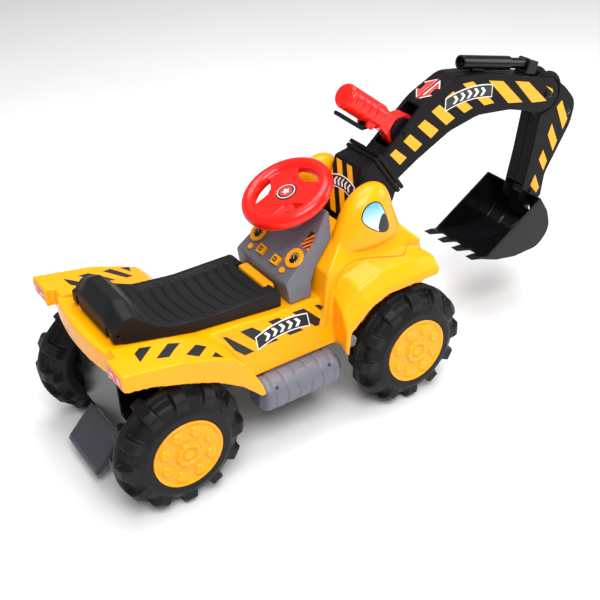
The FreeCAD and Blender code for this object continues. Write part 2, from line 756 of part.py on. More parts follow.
def make_turret():
    """Post between the headlamp lobes that carries the boom's flange."""
    thick = size("flange_thickness")
    top_rear = flange_point(size("flange_length") - 4, -thick)
    top_front = flange_point(4, -thick)
    outline = [(346, 300.5, 2), (398, 300.5, 2), (413, 345, 6), top_front + (2,),
               top_rear + (2,), (360, 425, 3), (338, 350, 4)]
    post = side_prism("turret_post", outline, "-turret_half", "turret_half")
    room = side_prism("turret_room", inset(outline, 4), "-turret_half + 4",
                      "turret_half - 4")
    node("turret", fuse("turret", cut("turret_post", post, room),
                        flange_plate("lower_flange", -thick, 0)))
    node("boom_flange", flange_plate("boom_flange", 1.2, 1.2 + thick))
    spacers = []
    for side in (-1, 1):
        for along in (10, size("flange_length") - 10):
            spot = flange_point(along, 0.6)
            spacers.append(cylinder("flange_screw_%d_%d" % (side + 1, along), "3", "1.2",
                                    V(spot[0], side * 27, spot[1]),
                                    V(FLANGE_OUT[0], 0, FLANGE_OUT[1])))
    node("flange_spacers", fuse("flange_spacers", *spacers))


def boom_outline():
    """The arched boom from its foot on the flange to the elbow."""
    out = 1.2 + size("flange_thickness")
    foot = flange_point(6, out)
    top_foot = flange_point(58, out)
    x, z = size("elbow_x"), size("elbow_z")
    r = size("elbow_radius")
    return [foot + (0,), (469, 402, 60), (530, 431, 60), (585, 442, 60), (650, 434, 60),
            (x - 6, z - r, 0), around(x, z, r, -60) + (0,), around(x, z, r, -20) + (0,),
            around(x, z, r, 20) + (0,), around(x, z, r, 60) + (0,), (708, 472, 10),
            (655, 487, 30), (600, 502, 60), (535, 512, 40), (481, 488, 80),
            top_foot + (0,)]


def half_shell(name, outline, side, half, wall, *tools):
    """One moulded half of a hollow arm, its open side on the middle plane."""
    low, high = sorted((0.05 * side, side * half))
    gap_low, gap_high = sorted((-side, side * (half - wall)))
    outside = side_prism(name + "_outside", outline, low, high)
    room = side_prism(name + "_room", inset(outline, wall), gap_low, gap_high)
    return cut(name, outside, room, *tools)


def make_boom():
    half = size("boom_half")
    wall = size("wall")
    x, z = size("elbow_x"), size("elbow_z")
    for side, word in ((-1, "right"), (1, "left")):
        tag = "boom_" + word
        tools = [
            box(tag + "_slot", ("lever_x - 29", "lever_x + 29"), (-13.5, 13.5),
                ("lever_z - 18", 500)),
            cylinder(tag + "_lever_bore", "pin_radius + 0.02", "60",
                     V(size("lever_x"), 0, size("lever_z")), "y"),
            cylinder(tag + "_elbow_bore", "pin_radius + 0.02", "60", V(x, 0, z), "y"),
            box(tag + "_mouth", (x - 42, x + 60), (-half + wall, half - wall),
                (z - 60, z + 60)),
        ]
        node(tag, half_shell(tag, boom_outline(), side, half, wall, *tools))
    node("lever_pin", cylinder("lever_pin", "pin_radius", "2 * boom_half + 2",
                               V(size("lever_x"), 0, size("lever_z")), "y"))
    node("elbow_pin", cylinder("elbow_pin", "pin_radius", "2 * boom_half + 2",
                               V(x, 0, z), "y"))


def grip_point(along, below=0, y=0):
    """A point from the lever pivot along the grip, or below its line."""
    turn = math.radians(size("grip_angle"))
    direction = V(math.cos(turn), 0, math.sin(turn))
    down = V(-math.sin(turn), 0, math.cos(turn))
    return V(size("lever_x"), y, size("lever_z")) + direction * along + down * below


def grip_axis():
    return (grip_point(1) - grip_point(0)).normalize()


def grip_outline(spots):
    """An outline given along and below the grip line."""
    return [(grip_point(a, b).x, grip_point(a, b).z, r) for a, b, r in spots]


TRIGGER_PIVOT = (57, 17.5)      # along and below the grip line


def make_lever():
    """Red hand lever: hub, neck, round grip and the crank for the push rod."""
    hub = cylinder("lever_hub", "lever_hub_radius", "2 * lever_hub_half",
                   V(size("lever_x"), 0, size("lever_z")), "y")
    root = side_prism("lever_root", grip_outline([(0, 20, 0), (26, 16, 0), (26, -13, 0),
                                                  (0, -12, 0)]), "-lever_hub_half",
                      "lever_hub_half")
    neck = side_prism("lever_neck", grip_outline([(21, 17, 0), (44, 12, 8), (68, 12, 2),
                                                  (68, -15, 4), (21, -13, 2)]), -12, 12)
    grip = cylinder("lever_grip", "grip_radius", "73", grip_point(78.5), grip_axis())
    cap = cylinder("lever_cap", "grip_radius - 2", "4", grip_point(116.5), grip_axis())
    ears = side_prism("lever_ears", grip_outline([(50, 8, 1), (64, 8, 1), (64, 22, 4),
                                                  (50, 22, 4)]), -12, 12)
    ear_gap = side_prism("lever_ear_gap", grip_outline([(46, 13.2, 0), (70, 13.2, 0),
                                                        (70, 30, 0), (46, 30, 0)]), -6.5, 6.5)
    crank_x, crank_z = around(size("lever_x"), size("lever_z"), size("crank_radius"), -90)
    pivot = V(size("lever_x"), 0, size("lever_z"))
    crank_slot = box("lever_crank_slot", ("lever_x - 8", "lever_x + 40"), (-3.5, 3.5),
                     (380, "lever_z + 4"))
    bores = [cylinder("lever_bore", "pin_radius + running_clearance", "40", pivot, "y"),
             cylinder("crank_bore", "2.02", "40", V(crank_x, 0, crank_z), "y"),
             cylinder("trigger_bore", "2.02", "40", grip_point(*TRIGGER_PIVOT), "y")]
    whole = fuse("lever", hub, root, neck, grip, cap, ears)
    node("lever", cut("lever", whole, ear_gap, crank_slot, *bores))
    discs = []
    for side in (-1, 1):
        disc = cylinder("lever_disc_%d" % (side + 1), "19", "3",
                        V(size("lever_x"), side * 10.5, size("lever_z")), "y")
        hole = cylinder("lever_disc_hole_%d" % (side + 1), "pin_radius + running_clearance",
                        "10", V(size("lever_x"), side * 10.5, size("lever_z")), "y")
        discs.append(cut("lever_disc_%d" % (side + 1), disc, hole))
    node("lever_discs", fuse("lever_discs", *discs))
    node("crank_pin", cylinder("crank_pin", "2", "17.6", V(crank_x, 0, crank_z), "y"))


def make_trigger():
    """Black bar under the grip that works the bucket."""
    a, b = TRIGGER_PIVOT
    bar = side_prism("trigger_bar", grip_outline([
        (a - 5, b - 3.5, 3), (a + 4, b - 3.5, 3), (a + 9, b + 5, 4), (114, b + 5, 3),
        (114, b + 11, 3), (a + 5, b + 11, 4), (a - 5, b + 3.5, 3)]), -6, 6)
    bore = cylinder("trigger_hole", "2 + running_clearance", "20", grip_point(a, b), "y")
    node("trigger", cut("trigger", bar, bore))
    node("trigger_pin", cylinder("trigger_pin", "2", "19", grip_point(a, b), "y"))


def make_push_rod():
    """Arched flat bar in the boom, from the lever's crank to the stick's."""
    x1, z1 = around(size("lever_x"), size("lever_z"), size("crank_radius"), -90)
    x2, z2 = around(size("elbow_x"), size("elbow_z"), size("crank_radius"), -90)
    path = [(x1, z1), (530, 464), (590, 474), (660, 460), (x2, z2)]
    half = 4.0
    lower = [(x, z - half, 0) for x, z in path]
    upper = [(x, z + half, 0) for x, z in reversed(path)]
    bar = side_prism("rod_bar", lower + upper, -3, 3)
    eyes = [cylinder("rod_eye_rear", "6", "6", V(x1, 0, z1), "y"),
            cylinder("rod_eye_front", "6", "6", V(x2, 0, z2), "y")]
    whole = fuse("push_rod", bar, *eyes)
    holes = [cylinder("rod_hole_rear", "2 + running_clearance", "10", V(x1, 0, z1), "y"),
             cylinder("rod_hole_front", "2.6", "10", V(x2, 0, z2), "y")]
    node("push_rod", cut("push_rod", whole, *holes))


# --------------------------------------------------------------------------
# Stick and bucket
# --------------------------------------------------------------------------
def stick_outline():
    x, z = size("elbow_x"), size("elbow_z")
    px, pz = size("bucket_pin_x"), size("bucket_pin_z")
    return [around(px, pz, 24, 200) + (0,), around(px, pz, 26, 240) + (8,),
            around(px, pz, 29, 290) + (8,), (741, 262, 4), (745, 300, 30), (790, 376, 40),
            (797, 412, 30), (770, 441, 12), (x + 18, z + 22, 0), (x + 26, z - 14, 0),
            (x - 2, z - 30, 0), (x - 9, z - 30, 2), (707, 340, 40)]


def make_stick():
    half = size("stick_half")
    wall = size("wall")
    x, z = size("elbow_x"), size("elbow_z")
    px, pz = size("bucket_pin_x"), size("bucket_pin_z")
    crank_x, crank_z = around(x, z, size("crank_radius"), -90)
    for side, word in ((-1, "right"), (1, "left")):
        tag = "stick_" + word
        clear = cylinder(tag + "_round", "elbow_radius + 1.2", "60", V(x, 0, z), "y")
        open_end = box(tag + "_open_end", (px - 34, px + 40), (-half + wall, half - wall),
                       (pz - 40, pz + 16))
        arm = half_shell(tag, stick_outline(), side, half, wall, clear, open_end)
        low, high = sorted((side * 11.5, side * size("tongue_half")))
        tongue = cylinder(tag + "_tongue", "36", str(high - low),
                          V(x, (low + high) / 2, z), "y")
        neck = side_prism(tag + "_neck", [(x - 10, z - 40, 0), (x + 34, z - 40, 0),
                                          (x + 34, z + 8, 0), (x - 10, z, 0)], low, high)
        side_low, side_high = sorted((side * 11.5, side * (half - wall + 0.2)))
        bridge = side_prism(tag + "_bridge", [(x - 8, z - 44, 0), (x + 40, z - 44, 0),
                                              (x + 54, z - 30, 0), (x + 30, z - 20, 0),
                                              (x + 24, z - 32, 0), (x - 8, z - 32, 0)],
                            side_low, side_high)
        whole = fuse(tag, arm, tongue, neck, bridge)
        bores = [cylinder(tag + "_elbow", "pin_radius + running_clearance", "60",
                          V(x, 0, z), "y"),
                 cylinder(tag + "_crank", "2.02", "60", V(crank_x, 0, crank_z), "y"),
                 cylinder(tag + "_bucket", "pin_radius + 0.02", "60", V(px, 0, pz), "y")]
        node(tag, cut(tag, whole, *bores))
    node("stick_crank_pin", cylinder("stick_crank_pin", "2", "2 * tongue_half",
                                     V(crank_x, 0, crank_z), "y"))
    node("bucket_pin", cylinder("bucket_pin", "pin_radius", "2 * stick_half + 2",
                                V(px, 0, pz), "y"))


def make_bucket():
    """Open scoop with four teeth, hung on a block inside the stick's end."""
    px, pz = size("bucket_pin_x"), size("bucket_pin_z")
    wall = size("wall")
    outline = [(584, 213, 0), (610, 203, 10), (650, 195, 30), (702, 196, 30),
               (727, 222, 30), (716, 258, 30), (697, 286, 0)]
    outside = side_prism("bucket_outside", outline, "-bucket_half", "bucket_half")
    hollow_outline = [(574, 219, 0), (612, 206, 10), (651, 198.5, 27), (700, 199.5, 27),
                      (723, 223, 27), (712.5, 257, 27), (694, 286, 0), (640, 300, 0)]
    hollow = side_prism("bucket_hollow", hollow_outline, "-bucket_half + 3",
                        "bucket_half - 3")
    notch = side_prism("bucket_notch", [(684, 262, 0), (690, 240, 0), (740, 240, 0),
                                        (750, 300, 0), (680, 300, 0)], -21.5, 21.5)
    shell = cut("bucket_shell", outside, hollow, notch)
    block = side_prism("bucket_block", [(706, 232, 2), (722, 232, 0), (724, 246, 2),
                                        around(px, pz, 11, -20) + (2,),
                                        around(px, pz, 11, 60) + (4,),
                                        around(px, pz, 11, 130) + (4,),
                                        around(px, pz, 11, 200) + (2,)], -14, 14)
    teeth = []
    tooth_count = 4
    pitch = 2 * (size("bucket_half") - 11) / (tooth_count - 1)
    for number in range(tooth_count):
        y = -size("bucket_half") + 11 + number * pitch
        teeth.append(side_prism("tooth%d" % number, [(557, 220, 0), (590, 210.5, 0),
                                                     (592, 214.5, 0), (575, 219, 0)],
                                y - 8, y + 8))
    ribs = []
    for number in range(3):
        y = (number - 1) * 30
        ribs.append(side_prism("bucket_rib%d" % number, [
            (612, 205.5, 0), (651, 198, 0), (700, 199, 0), (718, 216, 0),
            (698, 203.5, 0), (651, 202, 0)], y - 2, y + 2))
    bore = cylinder("bucket_bore", "pin_radius + running_clearance", "60",
                    V(px, 0, pz), "y")
    whole = fuse("bucket", shell, block, *teeth, *ribs)
    node("bucket", cut("bucket", whole, bore))


def make_mock_cylinder():
    """Dummy hydraulic ram on top of the boom."""
    start = V(560, 0, 523)
    end = V(712, 0, 487)
    along = (end - start).normalize()
    barrel = cylinder("ram_tube", "10.5", "100", start + along * 50, along)
    mouth = cylinder("ram_mouth", "8", "16", start + along * 2, along)
    node("ram_barrel", cut("ram_barrel", barrel, mouth))
    node("ram_rod", cylinder("ram_rod", "8", "42", start + along * 121, along))
    clevis = side_prism("ram_clevis_block", [(684, 479.4, 0), (704, 473.9, 0), (711, 493, 3),
                                             (692, 501, 3)], -12, 12)
    clevis_bore = cylinder("ram_clevis_bore", "8", "60", start + along * 130, along)
    node("ram_clevis", cut("ram_clevis", clevis, clevis_bore))
    foot = side_prism("ram_foot_block", [(578, 507.4, 0), (600, 502.6, 0), (602, 512, 0),
                                         (580, 517, 0)], -8, 8)
    foot_bore = cylinder("ram_foot_bore", "10.5", "120", start + along * 43, along)
    node("ram_foot", cut("ram_foot", foot, foot_bore))


# --------------------------------------------------------------------------
# Footrests and small fittings
# --------------------------------------------------------------------------
def make_footrests():
    """Ribbed rolls along the sills for a passenger's feet."""
    length = size("footrest_length")
    for side, word in ((-1, "right"), (1, "left")):
        tag = "footrest_" + word
        middle = V(size("footrest_x"), side * size("footrest_y"), size("footrest_z"))
        pieces = [cylinder(tag + "_roll", "footrest_radius - 1.5", "footrest_length - 8",
                           middle, "x"),
                  cylinder(tag + "_core", "footrest_radius - 6", "footrest_length",
                           middle, "x")]
        rib_count = 7
        for number in range(rib_count):
            shift = (number - (rib_count - 1) / 2) * length / (rib_count + 0.6)
            pieces.append(cylinder("%s_rib%d" % (tag, number), "footrest_radius", "13",
                                   middle + V(shift, 0, 0), "x"))
        low, high = sorted((side * 80.2, side * 100))
        pieces.append(box(tag + "_bracket", (150, 242), (low, high), (190, 207)))
        node(tag, fuse(tag, *pieces))


def main():
    fill_sheet()
    make_body_shell()
    make_storage_tray()
    make_chassis()
    make_kick_plate()
    make_axles()
    make_wheels()
    make_axle_retainers()
    make_seat()
    make_console()
    make_steering()
    make_turret()
    make_boom()
    make_lever()
    make_trigger()
    make_push_rod()
    make_stick()
    make_bucket()
    make_mock_cylinder()
    make_footrests()
    finish()


def finish():
    """Place every sub-part on the toy's own origin, check it and write it."""
    DOC.recompute()
    for obj in NODES:
        for letter in "xyz":
            obj.setExpression(".Placement.Base." + letter, None)
        placed = FreeCAD.Placement(V(size("rear_axle_x"), 0, -size("ground_height")),
                                   FreeCAD.Rotation())
        obj.Placement = placed.multiply(obj.Placement)
    DOC.recompute()
    faulty = [o.Name for o in DOC.Objects if "Invalid" in o.State or "Error" in o.State]
    if faulty:
        raise SystemExit("failed objects: %s" % faulty)
    os.makedirs("parts", exist_ok=True)
    whole = FreeCAD.BoundBox()
    for obj in NODES:
        shape = obj.Shape
        if shape.isNull() or not shape.isValid() or not shape.Solids:
            raise SystemExit("bad shape: " + obj.Label)
        shape.exportStep("parts/%s.step" % obj.Label)
        whole.add(shape.BoundBox)
        print("%-22s solids %d  volume %9.0f" % (obj.Label, len(shape.Solids), shape.Volume))
    print("bounds", [round(v, 1) for v in (whole.XMin, whole.YMin, whole.ZMin,
                                            whole.XMax, whole.YMax, whole.ZMax)])


main()
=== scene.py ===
import json
import math

import bmesh
import bpy
import numpy as np
from mathutils import Matrix, Vector
from mathutils.bvhtree import BVHTree
from mathutils.geometry import delaunay_2d_cdt

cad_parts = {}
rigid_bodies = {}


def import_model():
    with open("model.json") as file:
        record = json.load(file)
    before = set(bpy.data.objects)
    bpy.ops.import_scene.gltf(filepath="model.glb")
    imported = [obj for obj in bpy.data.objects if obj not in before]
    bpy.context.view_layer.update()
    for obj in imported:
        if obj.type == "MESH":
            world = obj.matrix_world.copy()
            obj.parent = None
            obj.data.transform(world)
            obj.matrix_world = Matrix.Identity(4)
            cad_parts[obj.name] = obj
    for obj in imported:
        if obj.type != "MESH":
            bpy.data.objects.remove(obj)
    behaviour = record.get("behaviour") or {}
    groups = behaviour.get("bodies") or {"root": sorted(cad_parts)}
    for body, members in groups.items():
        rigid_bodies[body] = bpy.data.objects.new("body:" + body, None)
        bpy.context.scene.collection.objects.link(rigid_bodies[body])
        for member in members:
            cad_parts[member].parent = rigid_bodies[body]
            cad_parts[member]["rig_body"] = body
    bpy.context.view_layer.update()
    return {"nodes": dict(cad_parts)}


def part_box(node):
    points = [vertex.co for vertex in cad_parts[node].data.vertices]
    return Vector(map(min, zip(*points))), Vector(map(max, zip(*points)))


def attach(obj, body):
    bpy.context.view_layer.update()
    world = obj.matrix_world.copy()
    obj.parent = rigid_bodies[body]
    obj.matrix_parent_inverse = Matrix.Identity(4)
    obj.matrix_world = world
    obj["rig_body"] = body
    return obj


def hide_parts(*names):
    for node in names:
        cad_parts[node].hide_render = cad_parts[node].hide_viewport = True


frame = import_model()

MM = 0.001
COARSE = 1.0


def middle(node):
    low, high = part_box(node)
    return (low + high) / 2


REAR_AXLE = middle("axle_rear")
LEVER_PIVOT = middle("lever_pin")
STEER_TILT = math.radians(23)
STEER_AXIS = Vector((-math.sin(STEER_TILT), 0, math.cos(STEER_TILT)))
STEER_UP = Vector((math.cos(STEER_TILT), 0, math.sin(STEER_TILT)))
DASH_SLOPE = math.atan2(45, 53)
DASH_UP = Vector((math.cos(DASH_SLOPE), 0, math.sin(DASH_SLOPE)))
DASH_NORMAL = Vector((-math.sin(DASH_SLOPE), 0, math.cos(DASH_SLOPE)))
GRIP_ANGLE = math.radians(142)
GRIP_AXIS = Vector((math.cos(GRIP_ANGLE), 0, math.sin(GRIP_ANGLE)))
LEFT = Vector((0, 1, 0))


def spot(x, y, z):
    """A point in millimetres from the ground under the rear axle."""
    return Vector((REAR_AXLE.x + x * MM, y * MM, z * MM))


# --------------------------------------------------------------------------
# Materials
# --------------------------------------------------------------------------
class Nodes:
    """A material's node tree with short calls for the nodes used here."""

    def __init__(self, name):
        self.material = bpy.data.materials.new(name)
        self.material.use_nodes = True
        self.tree = self.material.node_tree
        self.shader = self.tree.nodes["Principled BSDF"]
        self.coords = self.new("ShaderNodeTexCoord").outputs["Object"]

    def new(self, kind, **settings):
        made = self.tree.nodes.new(kind)
        for key, value in settings.items():
            setattr(made, key, value)
        return made

    def join(self, source, target):
        if isinstance(source, (int, float, tuple)):
            target.default_value = source
        else:
            self.tree.links.new(source, target)

    def noise(self, scale, detail=2.0, stretch=(1, 1, 1), distortion=0.0):
        mapping = self.new("ShaderNodeMapping")
        mapping.inputs["Scale"].default_value = stretch
        self.join(self.coords, mapping.inputs["Vector"])
        made = self.new("ShaderNodeTexNoise")
        made.inputs["Scale"].default_value = scale
        made.inputs["Detail"].default_value = detail
        made.inputs["Distortion"].default_value = distortion
        self.join(mapping.outputs["Vector"], made.inputs["Vector"])
        return made.outputs["Fac"]

    def cells(self, scale):
        made = self.new("ShaderNodeTexVoronoi", feature="SMOOTH_F1")
        made.inputs["Scale"].default_value = scale
        self.join(self.coords, made.inputs["Vector"])
        return made.outputs["Distance"]

    def ramp(self, value, low, high, out_low, out_high):
        made = self.new("ShaderNodeMapRange", clamp=True)
        for key, entry in (("Value", value), ("From Min", low), ("From Max", high),
                           ("To Min", out_low), ("To Max", out_high)):
            self.join(entry, made.inputs[key])
        return made.outputs["Result"]

    def blend(self, share, first, second):
        made = self.new("ShaderNodeMix", data_type="RGBA")
        self.join(share, made.inputs[0])
        self.join(first, made.inputs[6])
        self.join(second, made.inputs[7])
        return made.outputs[2]

    def maths(self, operation, first, second=0.0):
        made = self.new("ShaderNodeMath", operation=operation)
        self.join(first, made.inputs[0])
        self.join(second, made.inputs[1])
        return made.outputs[0]

    def along(self, direction):
        """How far along a direction each point lies, in metres."""
        made = self.new("ShaderNodeVectorMath", operation="DOT_PRODUCT")
        self.join(self.coords, made.inputs[0])
        made.inputs[1].default_value = direction
        return made.outputs["Value"]

    def bump(self, height, strength, depth, before=None):
        made = self.new("ShaderNodeBump")
        made.inputs["Strength"].default_value = strength
        made.inputs["Distance"].default_value = depth
        self.join(height, made.inputs["Height"])
        if before is not None:
            self.join(before, made.inputs["Normal"])
        return made.outputs["Normal"]


def shade(colour, factor):
    return tuple(min(1.0, c * factor) for c in colour[:3]) + (1.0,)


def plastic(name, colour, roughness, grain_scale=900, grain_depth=0.00001, coat=0.0,
            mottle=0.04, wear=0.03, streaks=0.04, specular=0.5):
    """Moulded plastic: faint mottling, fine grain, scuffed edges and rubbed patches."""
    n = Nodes(name)
    base = shade(colour, 1.0)
    cloudy = n.ramp(n.noise(9, 3), 0.3, 0.7, 0.0, 1.0)
    tone = n.blend(cloudy, shade(colour, 1 - mottle), shade(colour, 1 + mottle))
    edge = n.ramp(n.new("ShaderNodeNewGeometry").outputs["Pointiness"], 0.54, 0.62, 0.0, wear)
    pale = tuple(c + (1 - c) * 0.35 for c in base[:3]) + (1.0,)
    n.join(n.blend(edge, tone, pale), n.shader.inputs["Base Color"])
    rubbed = n.ramp(n.noise(35, 5, (1, 1, 2.5), 0.6), 0.42, 0.72, 0.0, streaks)
    fine = n.ramp(n.noise(grain_scale * 0.4, 2), 0.2, 0.8, -0.015, 0.015)
    worn = n.maths("ADD", n.maths("ADD", roughness, rubbed), n.maths("ADD", fine, edge))
    n.join(worn, n.shader.inputs["Roughness"])
    ripple = n.bump(n.noise(22, 2), 0.12, 0.0005)
    n.join(n.bump(n.noise(grain_scale, 3), 0.6, grain_depth, ripple),
           n.shader.inputs["Normal"])
    n.shader.inputs["Specular IOR Level"].default_value = specular
    n.shader.inputs["Coat Weight"].default_value = coat
    n.shader.inputs["Coat Roughness"].default_value = 0.12
    n.shader.inputs["IOR"].default_value = 1.5
    return n.material


def leathery(name, colour, roughness, cell_scale, depth):
    """Plastic moulded with a pebbled skin."""
    n = Nodes(name)
    cloudy = n.ramp(n.noise(14, 3), 0.3, 0.7, 0.0, 1.0)
    tone = n.blend(cloudy, shade(colour, 0.85), shade(colour, 1.2))
    edge = n.ramp(n.new("ShaderNodeNewGeometry").outputs["Pointiness"], 0.52, 0.62, 0.0, 0.25)
    n.join(n.blend(edge, tone, (0.06, 0.06, 0.065, 1)), n.shader.inputs["Base Color"])
    n.shader.inputs["Specular IOR Level"].default_value = 0.16
    cells = n.cells(cell_scale)
    n.join(n.ramp(cells, 0.0, 0.6, roughness - 0.06, roughness + 0.12),
           n.shader.inputs["Roughness"])
    n.join(n.bump(cells, 0.8, depth, n.bump(n.noise(60, 3), 0.3, 0.0006)),
           n.shader.inputs["Normal"])
    return n.material


def steel(name):
    """Zinc-plated steel with fine turning marks."""
    n = Nodes(name)
    n.shader.inputs["Metallic"].default_value = 1.0
    spangle = n.ramp(n.noise(220, 4), 0.3, 0.7, 0.0, 1.0)
    n.join(n.blend(spangle, (0.5, 0.5, 0.52, 1), (0.68, 0.69, 0.7, 1)),
           n.shader.inputs["Base Color"])
    n.join(n.ramp(n.noise(400, 3, (1, 8, 1)), 0.2, 0.8, 0.25, 0.45),
           n.shader.inputs["Roughness"])
    n.join(n.bump(n.noise(700, 2, (1, 12, 1)), 0.4, 0.00003), n.shader.inputs["Normal"])
    return n.material


def ink(name, colour, roughness=0.35):
    """Printed film: flat colour with a faint halftone and a slight orange peel; also used for
    the painted shade of a seam groove and of screw holes.
    """
    n = Nodes(name)
    speck = n.ramp(n.noise(1400, 1), 0.35, 0.65, 0.0, 1.0)
    n.join(n.blend(speck, shade(colour, 0.94), shade(colour, 1.05)),
           n.shader.inputs["Base Color"])
    n.join(n.ramp(n.noise(60, 4), 0.3, 0.7, roughness - 0.06, roughness + 0.08),
           n.shader.inputs["Roughness"])
    n.join(n.bump(n.noise(350, 2), 0.3, 0.00003), n.shader.inputs["Normal"])
    return n.material


def graded_ink(name, low_colour, high_colour, low_z, high_z):
    """Printed film whose colour changes with height."""
    n = Nodes(name)
    share = n.ramp(n.along((0, 0, 1)), low_z, high_z, 0.0, 1.0)
    grained = n.maths("ADD", share, n.ramp(n.noise(1400, 1), 0.3, 0.7, -0.04, 0.04))
    n.join(n.blend(grained, low_colour, high_colour), n.shader.inputs["Base Color"])
    n.join(n.ramp(n.noise(60, 4), 0.3, 0.7, 0.26, 0.4), n.shader.inputs["Roughness"])
    n.join(n.bump(n.noise(350, 2), 0.3, 0.00003), n.shader.inputs["Normal"])
    return n.material


YELLOW = plastic("yellow_plastic", (1.0, 0.385, 0.0), 0.28, coat=0.05, specular=0.3)
BLACK = plastic("black_plastic", (0.007, 0.006, 0.007), 0.34, mottle=0.2, wear=0.0,
                specular=0.1)
GLOSS_BLACK = plastic("black_gloss_plastic", (0.005, 0.005, 0.006), 0.2, mottle=0.2,
                      wear=0.0, specular=0.22)
SEAT_BLACK = leathery("seat_plastic", (0.009, 0.009, 0.010), 0.42, 700, 0.00008)
TYRE_BLACK = leathery("tyre_plastic", (0.009, 0.009, 0.010), 0.4, 420, 0.00015)
GREY = plastic("grey_plastic", (0.135, 0.138, 0.172), 0.4, mottle=0.08)
DARK_GREY = plastic("dark_grey_plastic", (0.04, 0.042, 0.055), 0.45, mottle=0.12)
RED = plastic("red_plastic", (0.85, 0.009, 0.005), 0.25, coat=0.12, specular=0.35)
STEEL = steel("zinc_steel")
# Black print ink; also the painted shade of the footrest screw holes
BLACK_INK_AND_HOLE_SHADE = ink("black_ink_and_hole_shade", (0.012, 0.012, 0.013))
INK_YELLOW = ink("yellow_ink", (1.0, 0.43, 0.0))
INK_WHITE = ink("white_ink", (0.9, 0.9, 0.9))
INK_RED = ink("red_ink", (0.85, 0.03, 0.02))
INK_LILAC = ink("lilac_ink", (0.42, 0.33, 0.45))
INK_PINK = ink("pink_ink", (0.95, 0.55, 0.55))
# Painted shade: dark orange standing for the shadow in the fender's moulded seam groove, laid
# on as film
SEAM_SHADE_PAINT = ink("seam_shade", (0.55, 0.18, 0.0))
INK_ORANGE = ink("orange_ink", (0.95, 0.2, 0.02))


# --------------------------------------------------------------------------
# Mesh building
# --------------------------------------------------------------------------
def keep_coordinates(mesh):
    count = len(mesh.vertices)
    co = np.zeros(count * 3)
    mesh.vertices.foreach_get("co", co)
    return co.reshape(-1, 3)


def normals_of(mesh):
    values = np.zeros(len(mesh.vertices) * 3)
    mesh.vertex_normals.foreach_get("vector", values)
    return values.reshape(-1, 3)


def smooth_all(mesh):
    mesh.polygons.foreach_set("use_smooth", [True] * len(mesh.polygons))
    mesh.update()


def add_piece(name, mesh, body, materials, nodes=()):
    """A new visible piece that rides on a body and may stand for CAD nodes."""
    obj = bpy.data.objects.new(name, mesh)
    bpy.context.scene.collection.objects.link(obj)
    if not isinstance(materials, (list, tuple)):
        materials = [materials]
    if not mesh.materials:
        for entry in materials:
            mesh.materials.append(entry)
    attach(obj, body)
    if nodes:
        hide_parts(*nodes)
    return obj


def body_of_node(node):
    return frame["nodes"][node]["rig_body"]


def softened(node, voxel, rounds, shape=None, factor=0.5):
    """A copy of a CAD node's mesh with evenly rounded edges; shape moves its points."""
    mesh = frame["nodes"][node].data.copy()
    work = bmesh.new()
    work.from_mesh(mesh)
    bmesh.ops.remove_doubles(work, verts=work.verts, dist=1e-6)
    work.to_mesh(mesh)
    work.free()
    obj = bpy.data.objects.new(node + "_work", mesh)
    bpy.context.scene.collection.objects.link(obj)
    remesh = obj.modifiers.new("remesh", "REMESH")
    remesh.mode = "VOXEL"
    remesh.voxel_size = voxel * MM * COARSE
    soften = obj.modifiers.new("soften", "SMOOTH")
    soften.factor = factor
    soften.iterations = rounds
    graph = bpy.context.evaluated_depsgraph_get()
    result = bpy.data.meshes.new_from_object(obj.evaluated_get(graph))
    bpy.data.objects.remove(obj)
    result.materials.clear()
    if shape is not None:
        co = shape(keep_coordinates(result), normals_of(result))
        result.vertices.foreach_set("co", co.ravel())
    smooth_all(result)
    return result


def without_crumbs(mesh, least=400):
    """Drop loose bits that a thin tip leaves behind when its edges are rounded."""
    work = bmesh.new()
    work.from_mesh(mesh)
    unseen = set(work.verts)
    while unseen:
        part = set()
        edge = [unseen.pop()]
        while edge:
            vert = edge.pop()
            part.add(vert)
            for link in vert.link_edges:
                other = link.other_vert(vert)
                if other in unseen:
                    unseen.remove(other)
                    edge.append(other)
        if len(part) < least:
            bmesh.ops.delete(work, geom=list(part), context="VERTS")
    work.to_mesh(mesh)
    work.free()


def soft_piece(name, node, material, voxel=1.2, rounds=4, shape=None):
    """The rounded moulding that stands for one CAD node."""
    return add_piece(name, softened(node, voxel, rounds, shape), body_of_node(node),
                     material, [node])


def dress(node, material):
    """A CAD node that stays gets a better material."""
    mesh = frame["nodes"][node].data
    mesh.materials.clear()
    mesh.materials.append(material)


def basis(normal, up=Vector((0, 0, 1))):
    """Two directions across a normal: sideways and up."""
    normal = Vector(normal).normalized()
    side = up.cross(normal)
    if side.length < 0.01:
        side = Vector((0, 1, 0)).cross(normal)
    side.normalize()
    return side, normal.cross(side), normal


def lathe(name, profile, origin, axis, body, material, nodes=(), steps=64):
    """A turned piece: profile is (distance along the axis, radius) in millimetres."""
    side, up, axis = basis(axis)
    verts = []
    for height, radius in profile:
        for k in range(steps):
            turn = 2 * math.pi * k / steps
            verts.append(origin + axis * height * MM
                         + (side * math.cos(turn) + up * math.sin(turn)) * radius * MM)
    faces = []
    for row in range(len(profile) - 1):
        for k in range(steps):
            a, b = row * steps + k, row * steps + (k + 1) % steps
            faces.append((a, b, b + steps, a + steps))
    faces.append(tuple(range(steps))[::-1])
    faces.append(tuple(range((len(profile) - 1) * steps, len(profile) * steps)))
    mesh = bpy.data.meshes.new(name)
    mesh.from_pydata(verts, [], faces)
    smooth_all(mesh)
    return add_piece(name, mesh, body, material, nodes)


